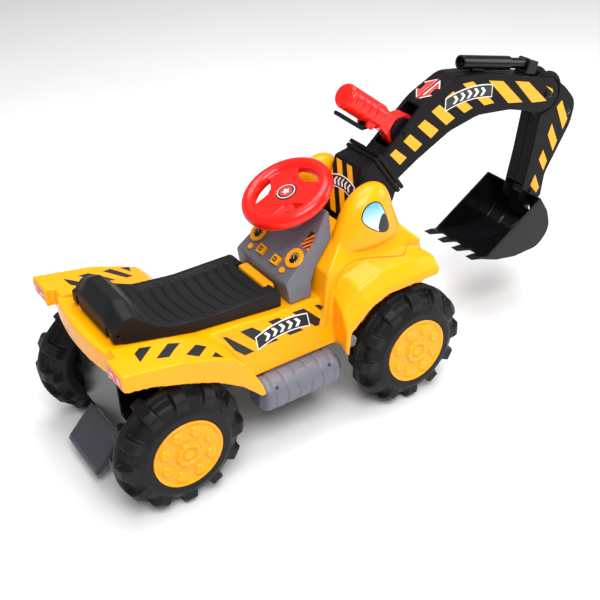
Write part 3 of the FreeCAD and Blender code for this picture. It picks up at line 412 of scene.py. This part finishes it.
def relief(name, radius, height, origin, axis, body, material, nodes=(),
           rings=60, steps=144, back=-4.0):
    """A round piece whose face follows height(radius, angle), all in millimetres."""
    side, up, axis = basis(axis)
    verts = [origin + axis * height(0, 0) * MM]
    for ring in range(1, rings + 1):
        r = radius * ring / rings
        for k in range(steps):
            turn = 2 * math.pi * k / steps
            verts.append(origin + axis * height(r, turn) * MM
                         + (side * math.cos(turn) + up * math.sin(turn)) * r * MM)
    for k in range(steps):
        turn = 2 * math.pi * k / steps
        verts.append(origin + axis * back * MM
                     + (side * math.cos(turn) + up * math.sin(turn)) * radius * MM)
    faces = [(0, 1 + k, 1 + (k + 1) % steps) for k in range(steps)]
    for ring in range(rings):
        for k in range(steps):
            a, b = 1 + ring * steps + k, 1 + ring * steps + (k + 1) % steps
            faces.append((a, a + steps, b + steps, b))
    first = 1 + rings * steps
    faces.append(tuple(range(first, first + steps))[::-1])
    mesh = bpy.data.meshes.new(name)
    mesh.from_pydata(verts, [], faces)
    smooth_all(mesh)
    return add_piece(name, mesh, body, material, nodes)


def ease(value, low, high):
    """0 below low, 1 above high, smooth between; works on arrays too."""
    share = np.clip((value - low) / (high - low), 0, 1)
    return share * share * (3 - 2 * share)


# --------------------------------------------------------------------------
# Printed film and screws
# --------------------------------------------------------------------------
VIEWS = {
    # each view's ray direction, and how a pair (a, b) in millimetres becomes its start
    "right": (Vector((0, 1, 0)), lambda a, b: spot(a, -400, b)),
    "left": (Vector((0, -1, 0)), lambda a, b: spot(a, 400, b)),
    "top": (Vector((0, 0, -1)), lambda a, b: spot(a, b, 700)),
    "rear": (Vector((1, 0, 0)), lambda a, b: spot(-400, a, b)),
    "dash": (-DASH_NORMAL, lambda a, b: DASH_EDGE + (DASH_UP * a + LEFT * b) * MM
             + DASH_NORMAL * 0.06),
    "wheel": (-STEER_AXIS, lambda a, b: WHEEL_CENTRE + (LEFT * a + STEER_UP * b) * MM
              + STEER_AXIS * 0.06),
}
DASH_EDGE = spot(209, 0, 218.8)
WHEEL_CENTRE = spot(257, 0, 317.8)
FILM_LIFT = 0.12
FILM_LAYER = 0.10
FILM_ROOT = 0.5


def resampled(outline, pitch):
    """The outline with extra points, so that no step is longer than the pitch."""
    points = []
    for k, start in enumerate(outline):
        start = Vector(start)
        end = Vector(outline[(k + 1) % len(outline)])
        steps = max(1, math.ceil((end - start).length / pitch))
        points += [start.lerp(end, i / steps) for i in range(steps)]
    return points


def inside(point, outline):
    hit = False
    for k, (x1, y1) in enumerate(outline):
        x2, y2 = outline[k - 1]
        if (y1 > point[1]) != (y2 > point[1]):
            if point[0] < (x2 - x1) * (point[1] - y1) / (y2 - y1) + x1:
                hit = not hit
    return hit


def filled(outline, pitch=4.0):
    """Triangles that fill an outline, fine enough to follow a curved surface."""
    edge = resampled(outline, pitch)
    low_a, high_a = min(p.x for p in edge), max(p.x for p in edge)
    low_b, high_b = min(p.y for p in edge), max(p.y for p in edge)
    points = list(edge)
    for a in np.arange(low_a + pitch / 2, high_a, pitch):
        for b in np.arange(low_b + pitch / 2, high_b, pitch):
            near = min((Vector((a, b)) - p).length for p in edge)
            if near > pitch * 0.45 and inside((a, b), outline):
                points.append(Vector((a, b)))
    loop = [(k, (k + 1) % len(edge)) for k in range(len(edge))]
    result = delaunay_2d_cdt(points, loop, [], 1, 1e-4)
    return result[0], result[2]


def printed(name, piece, view, shapes, body, mirror=False):
    """Thin film that follows a piece's surface: shapes are (outline, material) pairs,
    each printed over the ones before it."""
    direction, start_of = VIEWS[view]
    mesh = piece.data
    surface = BVHTree.FromPolygons([v.co for v in mesh.vertices],
                                   [p.vertices for p in mesh.polygons])
    materials = []
    verts = []
    faces = []
    slots = []
    for layer, (outline, material) in enumerate(shapes):
        if material not in materials:
            materials.append(material)
        if mirror:
            outline = [(a, -b) if view == "top" else (-a, b) for a, b in outline]
        points, triangles = filled(outline)
        lift = (FILM_LIFT + FILM_LAYER * layer) * MM
        places = []
        for point in points:
            hit = surface.ray_cast(start_of(point.x, point.y), direction)[0]
            places.append(hit)
        base = len(verts)
        for hit in places:
            verts.append((hit or Vector()) - direction * lift)
            verts.append((hit or Vector()) + direction * FILM_ROOT * MM)
        edges = {}
        for tri in triangles:
            if any(places[k] is None for k in tri):
                continue
            top = [base + 2 * k for k in tri]
            across = (verts[top[1]] - verts[top[0]]).cross(verts[top[2]] - verts[top[0]])
            if across.dot(direction) > 0:
                top.reverse()
            faces.append(tuple(top))
            faces.append(tuple(k + 1 for k in reversed(top)))
            slots += [materials.index(material)] * 2
            for k in range(3):
                edges[(top[k], top[(k + 1) % 3])] = True
        for a, b in list(edges):
            if (b, a) not in edges:
                faces.append((b, a, a + 1, b + 1))
                slots.append(materials.index(material))
    film = bpy.data.meshes.new(name)
    film.from_pydata(verts, [], faces)
    work = bmesh.new()
    work.from_mesh(film)
    bmesh.ops.delete(work, geom=[v for v in work.verts if not v.link_faces], context="VERTS")
    work.to_mesh(film)
    work.free()
    for entry in materials:
        film.materials.append(entry)
    film.polygons.foreach_set("material_index", slots)
    film.update()
    return add_piece(name, film, body, materials)


def screw_height(r, turn):
    """A pan-head screw in its counterbore, with a cross recess."""
    face = -1.6 + 1.6 * ease(r, 3.3, 3.9)
    face += 1.0 * (1 - ease(r, 2.2, 2.9))
    across = min(abs(r * math.sin(turn)), abs(r * math.cos(turn)))
    if r < 1.7:
        face -= 0.8 * (1 - ease(across, 0.25, 0.5))
    return face


def screw(name, origin, axis, body):
    relief(name, 3.9, screw_height, origin, axis, body, [STEEL], rings=26,
           steps=48, back=-3.0)


def quad(*corners):
    return list(corners)


def banner(a, b, length, height, rise=0.0, pointing=1):
    """A curved title strip without words: dark with a pale edge and pale chevrons."""
    def arc(share, level):
        along = (share - 0.5) * length
        crown = height * 0.35 * (1 - (2 * share - 1) ** 2)
        return a + along * pointing, b + along * rise + crown + level

    steps = [k / 10 for k in range(11)]
    half = height / 2

    def strip(grow):
        wide = 1 + 2 * grow / length
        spread = [0.5 + (share - 0.5) * wide for share in steps]
        upper = [arc(share, half + grow) for share in spread]
        lower = [arc(share, -half - grow) for share in reversed(spread)]
        return upper + lower

    shapes = [(strip(1.6), INK_WHITE), (strip(0.2), BLACK_INK_AND_HOLE_SHADE)]
    for share in (0.2, 0.35, 0.5, 0.65, 0.8):
        width = length * 0.06
        tall = height * 0.36
        mid = arc(share, 0)
        shapes.append(([
            (mid[0] - width * pointing, mid[1] - tall), (mid[0], mid[1] - tall),
            (mid[0] + width * pointing, mid[1]), (mid[0], mid[1] + tall),
            (mid[0] - width * pointing, mid[1] + tall), (mid[0], mid[1])], INK_WHITE))
    return shapes


# --------------------------------------------------------------------------
# Body moulding, chassis and wheels
# --------------------------------------------------------------------------
FENDER_PATCHES = [
    [(-34, -116), (-32, -96), (-21, -86), (-5, -88)],
    [(-13, -116), (16, -90), (32, -91), (3, -119)],
    [(25, -120), (50, -98), (62, -104), (39, -127)],
    [(55, -130), (66, -119), (70, -133)],
]
WAIST_STRIPES = [
    [(99, 189), (105, 187), (141, 153), (126, 153), (113, 165)],
    [(126, 186), (145, 185), (181, 154), (156, 155)],
    [(171, 183), (188, 182), (222, 153), (199, 154)],
    [(211, 181), (230, 180), (252, 158), (248, 151), (242, 151)],
    [(248, 178), (257, 177), (255, 169)],
]
LAMP_GLASS = [(322, 288), (325, 299), (334, 308), (347, 311), (357, 306), (364, 286),
              (369, 267), (361, 261), (346, 267), (331, 277)]
LAMP_SHADE = [(346, 268), (349, 281), (357, 292), (364, 286), (369, 267), (361, 261)]


def rounded(outline, rounds=3):
    """The outline with its corners cut again and again into a smooth curve."""
    for _ in range(rounds):
        cut = []
        for k, point in enumerate(outline):
            here = Vector(point)
            ahead = Vector(outline[(k + 1) % len(outline)])
            cut += [tuple(here.lerp(ahead, 0.25)), tuple(here.lerp(ahead, 0.75))]
        outline = cut
    return outline


def disc(a, b, radius, steps=40):
    """A round outline about a middle point."""
    turns = [2 * math.pi * k / steps for k in range(steps)]
    return [(a + radius * math.cos(t), b + radius * math.sin(t)) for t in turns]


def square(a, b, half):
    return [(a - half, b - half), (a + half, b - half), (a + half, b + half),
            (a - half, b + half)]


def star(a, b, long, short, points=5):
    """A star outline about a middle point."""
    outline = []
    for k in range(2 * points):
        turn = math.pi * k / points + math.pi / 2
        radius = short if k % 2 else long
        outline.append((a + radius * math.cos(turn), b + radius * math.sin(turn)))
    return outline


def shrunk(outline, by):
    """The outline drawn towards its middle by a distance."""
    mid = Vector((sum(p[0] for p in outline), sum(p[1] for p in outline))) / len(outline)
    moved = []
    for point in outline:
        arm = Vector(point) - mid
        moved.append(tuple(mid + arm * max(0, 1 - by / arm.length)))
    return moved


# Path of the fender's seam groove; a thin strip of painted shade is laid along it
SEAM = [(274, 200), (276, 212), (282, 225), (293, 232), (308, 234), (330, 231), (355, 227),
        (380, 224), (396, 226), (408, 233)]
SEAM_HALF = 0.45


def ribbon(path, half):
    """A thin band along a path, as an outline."""
    points = [Vector(p) for p in path]
    upper = []
    lower = []
    for k, point in enumerate(points):
        ahead = points[min(k + 1, len(points) - 1)] - points[max(k - 1, 0)]
        side = Vector((-ahead.y, ahead.x)).normalized() * half
        upper.append(tuple(point + side))
        lower.append(tuple(point - side))
    return upper + lower[::-1]


def make_body():
    body = soft_piece("body_moulding", "body_shell", YELLOW, voxel=2.0, rounds=7)
    glass = graded_ink("lamp_glass_ink", (0.9, 0.95, 1.0, 1), (0.12, 0.45, 0.85, 1),
                       0.268, 0.306)
    for side, word in ((-1, "right"), (1, "left")):
        printed("fender_marks_" + word, body, "top",
                [(quad(*patch), BLACK_INK_AND_HOLE_SHADE) for patch in FENDER_PATCHES], "toy",
                mirror=side > 0)
        stripes = [(quad(*stripe), BLACK_INK_AND_HOLE_SHADE) for stripe in WAIST_STRIPES]
        title = banner(190, 163, 84, 15, rise=0.03, pointing=-side)
        printed("waist_marks_" + word, body, word, stripes + title, "toy")
        # Painted shade along the seam groove, in place of the groove's own shadow
        printed("fender_seam_shade_" + word, body, word, [(ribbon(SEAM, SEAM_HALF), SEAM_SHADE_PAINT)],
                "toy")
        eye = rounded(LAMP_GLASS)
        lamp = [(eye, BLACK_INK_AND_HOLE_SHADE), (shrunk(eye, 1.6), glass),
                (rounded(LAMP_SHADE, 2), BLACK_INK_AND_HOLE_SHADE)]
        printed("lamp_print_" + word, body, word, lamp, "toy")
        frame_print = [(side * 98, 216), (side * 134, 216), (side * 134, 232),
                       (side * 98, 232)]
        panel = shrunk(frame_print, 2.2)
        glint = [(side * 124, 219), (side * 130, 219), (side * 130, 228), (side * 124, 229)]
        bar = [(side * 104, 221), (side * 112, 221), (side * 112, 225), (side * 104, 225)]
        printed("tail_lamp_" + word, body, "rear",
                [(frame_print, INK_LILAC), (panel, INK_RED), (glint, INK_PINK),
                 (bar, INK_WHITE)], "toy")


def make_chassis():
    soft_piece("chassis_frame", "chassis", GLOSS_BLACK, voxel=1.8, rounds=4)
    soft_piece("tail_plate", "kick_plate", DARK_GREY, voxel=1.0, rounds=5)


HUB_RADIUS = 49
HUB_BOSS_RING = 34
HUB_BOSSES = 8


def hub_height(r, turn):
    """The face of a hub cap: rim, dish, eight bosses and a toothed middle ring."""
    face = 0.6 - 2.6 * ease(HUB_RADIUS - r, 1.5, 6)
    sector = 2 * math.pi / HUB_BOSSES
    nearest = (round(turn / sector - 0.5) + 0.5) * sector
    away = math.hypot(r - HUB_BOSS_RING, HUB_BOSS_RING * (turn - nearest))
    face += 4.0 * (1 - ease(away, 6.4, 8.6)) - 1.2 * (1 - ease(away, 1.4, 2.6))
    teeth = 16.5 + 1.4 * ease(math.cos(10 * turn), -0.2, 0.2)
    face += 4.6 * (1 - ease(r, teeth - 0.8, teeth + 0.8))
    face -= 3.4 * (1 - ease(r, 11.2, 12.6))
    face += 2.4 * (1 - ease(r, 6.6, 8.0))
    return face


def make_wheels():
    for end in ("rear", "front"):
        for side, word in ((-1, "right"), (1, "left")):
            tag = end + "_" + word
            soft_piece("wheel_" + tag + "_tread", "tyre_" + tag, TYRE_BLACK, 1.5, 5)
            low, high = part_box("hub_cap_" + tag)
            centre = (low + high) / 2
            outer = high.y if side > 0 else low.y
            face = Vector((centre.x, outer - side * 3.2 * MM, centre.z))
            relief("hub_" + tag, HUB_RADIUS, hub_height, face, (0, side, 0), "wheel_" + tag,
                   YELLOW, ["hub_cap_" + tag], back=-9.0)


# --------------------------------------------------------------------------
# Seat, console, steering
# --------------------------------------------------------------------------
GROOVES = (26, 176)
GROOVE_PITCH = 17
GROOVE_BOW = 8


def seat_shape(co, normals):
    """Bowed cross grooves in a sunk panel, and a backrest that falls at both ends."""
    x = (co[:, 0] - REAR_AXLE.x) / MM
    y = np.abs(co[:, 1]) / MM
    z = co[:, 2] / MM
    faces_up = ease(normals[:, 2], 0.5, 0.8)
    panel = (1 - ease(y, 45, 49)) * ease(x, 16, 20) * (1 - ease(x, 182, 186)) * faces_up
    bowed = x + GROOVE_BOW * (1 - (y / 50) ** 2)
    from_groove = np.abs((bowed - GROOVES[0] + GROOVE_PITCH / 2) % GROOVE_PITCH
                         - GROOVE_PITCH / 2)
    in_rows = ease(bowed, GROOVES[0] - 6, GROOVES[0] - 4) * (
        1 - ease(bowed, GROOVES[1] + 4, GROOVES[1] + 6))
    sunk = panel * (1.0 + 2.6 * in_rows * (1 - ease(from_groove, 0.8, 2.6)))
    fall = 13 * ease(y, 30, 64) * ease(z, 238, 264)
    co[:, 2] -= (sunk + fall) * MM
    return co


def make_seat():
    soft_piece("seat_moulding", "seat_lid", SEAT_BLACK, voxel=1.2, rounds=4,
               shape=seat_shape)


def wider_rings(co, normals):
    """The dial rings with a broader foot than their lip."""
    side = np.sign(co[:, 1])[:, None]
    middle = np.array(DASH_EDGE + DASH_UP * DIAL_ALONG * MM) + side * np.array(
        LEFT * DIAL_Y * MM)
    lift = (co - middle) @ np.array(DASH_NORMAL)
    out = (co - middle) - lift[:, None] * np.array(DASH_NORMAL)
    distance = np.linalg.norm(out, axis=1) / MM
    grow = 0.14 * ease(distance, 9.5, 12.5)
    return co + out * grow[:, None]


def make_console():
    soft_piece("dash_housing", "console", GREY, voxel=1.2, rounds=5)
    soft_piece("column_cone", "steering_column", GREY, voxel=1.0, rounds=3)
    for word in ("right", "left"):
        soft_piece("dash_button_" + word, "button_" + word, YELLOW, voxel=0.5, rounds=3)
    soft_piece("dial_rings", "gauge_rings", YELLOW, voxel=0.5, rounds=3, shape=wider_rings)
    soft_piece("small_knobs", "dash_knobs", YELLOW, voxel=0.4, rounds=4)
    dress("gauge_faces", GLOSS_BLACK)
    for side, word in ((-1, "right"), (1, "left")):
        printed("dial_print_" + word, frame["nodes"]["gauge_faces"], "dash",
                dial_print(DIAL_ALONG, side * DIAL_Y), "toy")
    housing = bpy.data.objects["dash_housing"]
    printed("hazard_print", housing, "dash",
            [(HAZARD_PATCH, INK_ORANGE)] + [(band, BLACK_INK_AND_HOLE_SHADE) for band in HAZARD_BANDS],
            "toy")
    for side, word in ((-1, "right"), (1, "left")):
        button = bpy.data.objects["dash_button_" + word]
        printed("button_print_" + word, button, "dash",
                [(square(BUTTON_ALONG, side * BUTTON_Y, 3.6), BLACK_INK_AND_HOLE_SHADE),
                 (star(BUTTON_ALONG, side * BUTTON_Y, 2.6, 1.2, 3 if side < 0 else 4),
                  INK_YELLOW)], "button_a" if side < 0 else "button_b")


HAZARD_PATCH = [(56, -37), (56, -56), (81, -51), (81, -40)]
HAZARD_BANDS = [
    [(68, -38.5), (81, -40), (81, -51)],
    [(61, -37.6), (63.5, -37.9), (77, -51.5), (74, -52)],
    [(56, -39), (56, -42), (68, -53.3), (71.5, -52.6)],
    [(56, -46.5), (56, -49.5), (61.5, -54.8), (64.5, -54)],
]
DIAL_ALONG = 37
DIAL_Y = 45
BUTTON_ALONG = 20
BUTTON_Y = 18


def dial_print(a, b):
    """Ticks around a dial and a pointer."""
    shapes = []
    for k in range(9):
        turn = math.radians(-120 + 30 * k)
        out = Vector((math.cos(turn), math.sin(turn)))
        across = Vector((-out.y, out.x)) * 0.35
        low, high = out * 5.4, out * 7.2
        corners = (low - across, high - across, high + across, low + across)
        shapes.append(([(a + c.x, b + c.y) for c in corners], INK_WHITE))
    shapes.append(([(a - 1.5, b - 1.0), (a + 4.6, b + 2.6), (a - 0.6, b + 1.5)], INK_ORANGE))
    return shapes


def make_steering():
    soft_piece("steering_grip", "steering_wheel", RED, voxel=1.0, rounds=6)
    badge = soft_piece("wheel_badge", "steering_badge", BLACK_INK_AND_HOLE_SHADE, voxel=0.5, rounds=3)
    printed("badge_print", badge, "wheel",
            [(disc(0, 0, 13.2), INK_WHITE), (disc(0, 0, 12.0), BLACK_INK_AND_HOLE_SHADE),
             (disc(0, 0, 9.4), INK_RED), (star(0, 0, 6.4, 2.8), INK_WHITE)], "steering")


# --------------------------------------------------------------------------
# Arm
# --------------------------------------------------------------------------
BOOM_PATCHES = [
    [(419, 336), (429, 342), (450, 323), (438, 315)],
    [(443, 350), (455, 358), (478, 336), (465, 328)],
    [(468, 366), (481, 373), (508, 350), (494, 341)],
    [(493, 382), (507, 389), (538, 361), (522, 354)],
    [(519, 397), (532, 403), (572, 368), (556, 364)],
    [(549, 410), (569, 409), (615, 365), (595, 366)],
    [(600, 403), (630, 395), (675, 351), (645, 357)],
    [(655, 389), (684, 381), (728, 340), (696, 345)],
    [(722, 366), (738, 357), (741, 350)],
]
STICK_PATCHES = [
    [(754, 323), (764, 332), (782, 296), (774, 280)],
    [(741, 279), (747, 297), (764, 263), (757, 247)],
    [(727, 240), (734, 255), (746, 233), (740, 217)],
    [(714, 198), (722, 215), (735, 188), (729, 180)],
]
SLEW_ARROW = [(480, 0), (494, -17), (495, -10), (508, -10), (509, -17), (524, 0),
              (509, 17), (508, 10), (495, 10), (494, 17)]
TURRET_STRIPES = [
    [(-29, 277), (-29, 299), (-11, 332), (1, 332)],
    [(-25, 262), (-13, 262), (25, 332), (13, 332)],
    [(-1, 262), (11, 262), (29, 295), (29, 317)],
]


def grip_shape(co, normals):
    """Rings around the hand grip."""
    along = ((co - np.array(LEVER_PIVOT)) @ np.array(GRIP_AXIS)) / MM
    held = ease(along, 56, 59) * (1 - ease(along, 112, 114))
    sideways = 1 - np.abs(normals @ np.array(GRIP_AXIS))
    away = np.abs((along - 58) % 14.5 - 7.25)
    ring = 1 - ease(away, 0.6, 1.8)
    return co - normals * (0.9 * MM * held * sideways * ring)[:, None]


PIN_CAP = [(-0.5, 4.8), (0.9, 4.8), (1.6, 4.2), (2.1, 2.6), (2.2, 0.4)]


def make_arm():
    post = soft_piece("turret_post", "turret", BLACK, voxel=1.1, rounds=4)
    printed("turret_marks", post, "rear",
            [(stripe, INK_YELLOW) for stripe in TURRET_STRIPES] + banner(0, 300, 52, 15),
            "toy")
    soft_piece("flange_plate", "boom_flange", BLACK, voxel=0.8, rounds=4)
    for side, word in ((-1, "right"), (1, "left")):
        boom = soft_piece("boom_side_" + word, "boom_" + word, BLACK, voxel=1.0, rounds=5)
        stick = soft_piece("stick_side_" + word, "stick_" + word, BLACK, voxel=1.0, rounds=5)
        title = banner(563, 386, 88, 17, pointing=-side)
        printed("boom_marks_" + word, boom, word,
                [(patch, INK_YELLOW) for patch in BOOM_PATCHES] + title, "toy")
        printed("stick_marks_" + word, stick, word,
                [(patch, INK_YELLOW) for patch in STICK_PATCHES], "stick")
        for number, (x, z) in enumerate(((434, 329), (735, 348))):
            screw("boom_screw_%s_%d" % (word, number), spot(x, side * 20.3, z),
                  (0, side, 0), "toy")
        for node, owner in (("lever_pin", "toy"), ("elbow_pin", "toy"),
                            ("bucket_pin", "stick")):
            end = middle(node)
            lathe("%s_cap_%s" % (node, word), PIN_CAP, Vector((end.x, side * 0.0205, end.z)),
                  (0, side, 0), owner, BLACK, steps=32)
        for number, (x, z) in enumerate(((782, 308), (722, 207))):
            screw("stick_screw_%s_%d" % (word, number), spot(x, side * 20.3, z),
                  (0, side, 0), "stick")
    for word in ("right", "left"):
        boom = bpy.data.objects["boom_side_" + word]
        sign = -1 if word == "right" else 1
        half = [p for p in SLEW_ARROW if sign * p[1] >= 0]
        printed("slew_arrow_" + word, boom, "top",
                [(half, INK_WHITE), (shrunk(half, 1.6), INK_RED)], "toy")
    scoop = soft_piece("scoop_shell", "bucket", GLOSS_BLACK, voxel=0.9, rounds=4)
    without_crumbs(scoop.data)
    smooth_all(scoop.data)
    soft_piece("hand_grip", "lever", RED, voxel=0.9, rounds=5, shape=grip_shape)
    soft_piece("hub_discs", "lever_discs", BLACK, voxel=0.5, rounds=3)
    soft_piece("trigger_bar", "trigger", BLACK, voxel=0.6, rounds=4)
    for node in ("ram_barrel", "ram_rod", "ram_clevis", "ram_foot"):
        soft_piece(node + "_moulding", node, GLOSS_BLACK, voxel=0.7, rounds=4)
    soft_piece("link_bar", "push_rod", BLACK, voxel=0.7, rounds=2)


ROLL_X = 193
ROLL_Y = 107
ROLL_Z = 94.8
ROLL_RADIUS = 25
ROLL_HALF = 67
ROLL_RINGS = 7
ROLL_DISC = 13.5
ROLL_FACING = math.radians(42)      # how far up from level the disc faces


def roll_shape(co, normals):
    """Swollen rings, domed ends and a flat disc on the outer face of a footrest."""
    side = np.sign(co[:, 1])
    x = (co[:, 0] - REAR_AXLE.x) / MM - ROLL_X
    out = side * co[:, 1] / MM - ROLL_Y
    up = co[:, 2] / MM - ROLL_Z
    radius = np.maximum(np.hypot(out, up), 0.01)
    pitch = 2 * ROLL_HALF / ROLL_RINGS
    phase = np.abs((x + ROLL_HALF) / pitch % 1 - 0.5) * 2
    dome = np.sqrt(np.clip(1 - (ease(np.abs(x), ROLL_HALF - 16, ROLL_HALF) * 0.86) ** 2, 0, 1))
    wanted = (ROLL_RADIUS - 2.0 * phase ** 8) * dome
    around = radius * (np.arctan2(up, out) - ROLL_FACING)
    on_disc = 1 - ease(np.hypot(x, around), ROLL_DISC - 0.5, ROLL_DISC + 0.5)
    wanted = wanted + (ROLL_RADIUS + 1.4 - wanted) * on_disc
    rolled = ease(radius, 12, 15) * (1 - ease(radius, 25.6, 27.5))
    change = (wanted - radius) * rolled
    co[:, 1] += side * out / radius * change * MM
    co[:, 2] += up / radius * change * MM
    return co


# Painted shade: a black disc standing for the dark inside of a screw hole, slightly dipped at
# its middle
def hole_shade_height(r, turn):
    return 0.5 - 0.3 * (1 - ease(r, 1.3, 2.1))


def make_footrests():
    for side, word in ((-1, "right"), (1, "left")):
        soft_piece("foot_roll_" + word, "footrest_" + word, GREY, voxel=0.9, rounds=3,
                   shape=roll_shape)
        facing = Vector((0, side * math.cos(ROLL_FACING), math.sin(ROLL_FACING)))
        # Black discs on each footrest's outer face: painted shade where its screw holes are
        for number, shift in enumerate((-43, 43)):
            foot = spot(ROLL_X + shift, side * ROLL_Y, ROLL_Z) + facing * 25.0 * MM
            relief("drain_hole_%s_%d" % (word, number), 2.3, hole_shade_height, foot, facing,
                   "toy", BLACK_INK_AND_HOLE_SHADE, rings=10, steps=32, back=-3.0)


def make_hidden():
    soft_piece("seat_tray", "storage_tray", BLACK, voxel=1.2, rounds=3)
    dress("sound_module", BLACK)
    for node in ("axle_rear", "axle_front", "axle_retainers", "seat_hinge_pin",
                 "steering_shaft", "lever_pin", "elbow_pin", "crank_pin", "trigger_pin",
                 "stick_crank_pin", "bucket_pin", "flange_spacers"):
        dress(node, STEEL)


# --------------------------------------------------------------------------
# Studio
# --------------------------------------------------------------------------
CAMERA_AT = (-399.0, -1019.3, 946.1)
CAMERA_YAW = math.radians(56.588)
CAMERA_PITCH = math.radians(33.530)
CAMERA_ROLL = math.radians(-1.612)
CAMERA_LENS = 59.88


def make_camera():
    data = bpy.data.cameras.new("camera")
    data.sensor_width = 36
    data.lens = CAMERA_LENS
    obj = bpy.data.objects.new("camera", data)
    bpy.context.scene.collection.objects.link(obj)
    ahead = Vector((math.cos(CAMERA_PITCH) * math.cos(CAMERA_YAW),
                    math.cos(CAMERA_PITCH) * math.sin(CAMERA_YAW), -math.sin(CAMERA_PITCH)))
    right = Vector((math.sin(CAMERA_YAW), -math.cos(CAMERA_YAW), 0))
    up = right.cross(ahead)
    right_rolled = right * math.cos(CAMERA_ROLL) + up * math.sin(CAMERA_ROLL)
    up_rolled = up * math.cos(CAMERA_ROLL) - right * math.sin(CAMERA_ROLL)
    turn = Matrix((right_rolled, up_rolled, -ahead)).transposed()
    obj.matrix_world = Matrix.Translation(spot(*CAMERA_AT)) @ turn.to_4x4()
    bpy.context.scene.camera = obj


def area_light(name, position, target, size, power):
    data = bpy.data.lights.new(name, "AREA")
    data.shape = "RECTANGLE"
    data.size, data.size_y = size
    data.energy = power
    obj = bpy.data.objects.new(name, data)
    bpy.context.scene.collection.objects.link(obj)
    obj.location = position
    obj.rotation_mode = "QUATERNION"
    obj.rotation_quaternion = (Vector(target) - Vector(position)).to_track_quat("-Z", "Y")


def make_studio():
    mesh = bpy.data.meshes.new("floor")
    reach = 8.0
    mesh.from_pydata([(-reach, -reach, 0), (reach, -reach, 0), (reach, reach, 0),
                      (-reach, reach, 0)], [], [(0, 1, 2, 3)])
    n = Nodes("floor_paper")
    n.join(n.blend(n.ramp(n.noise(3, 2), 0.3, 0.7, 0.0, 1.0), (0.86, 0.86, 0.86, 1),
                   (0.88, 0.88, 0.88, 1)), n.shader.inputs["Base Color"])
    n.shader.inputs["Roughness"].default_value = 0.8
    mesh.materials.append(n.material)
    floor = bpy.data.objects.new("floor", mesh)
    bpy.context.scene.collection.objects.link(floor)
    world = bpy.data.worlds.new("studio")
    world.use_nodes = True
    world.node_tree.nodes["Background"].inputs["Color"].default_value = (1, 1, 1, 1)
    world.node_tree.nodes["Background"].inputs["Strength"].default_value = 0.32
    bpy.context.scene.world = world
    bpy.context.scene.view_settings.view_transform = "Standard"
    area_light("key", (-0.6, -1.4, 2.2), (0, 0, 0.2), (1.6, 1.2), 60)
    area_light("top", (0.3, 0.3, 2.4), (0, 0, 0.2), (2.0, 1.4), 44)
    area_light("side", (1.9, -0.9, 1.0), (0.1, 0, 0.3), (1.0, 1.0), 14)


make_body()
make_chassis()
make_wheels()
make_seat()
make_console()
make_steering()
make_arm()
make_footrests()
make_hidden()
make_studio()
make_camera()
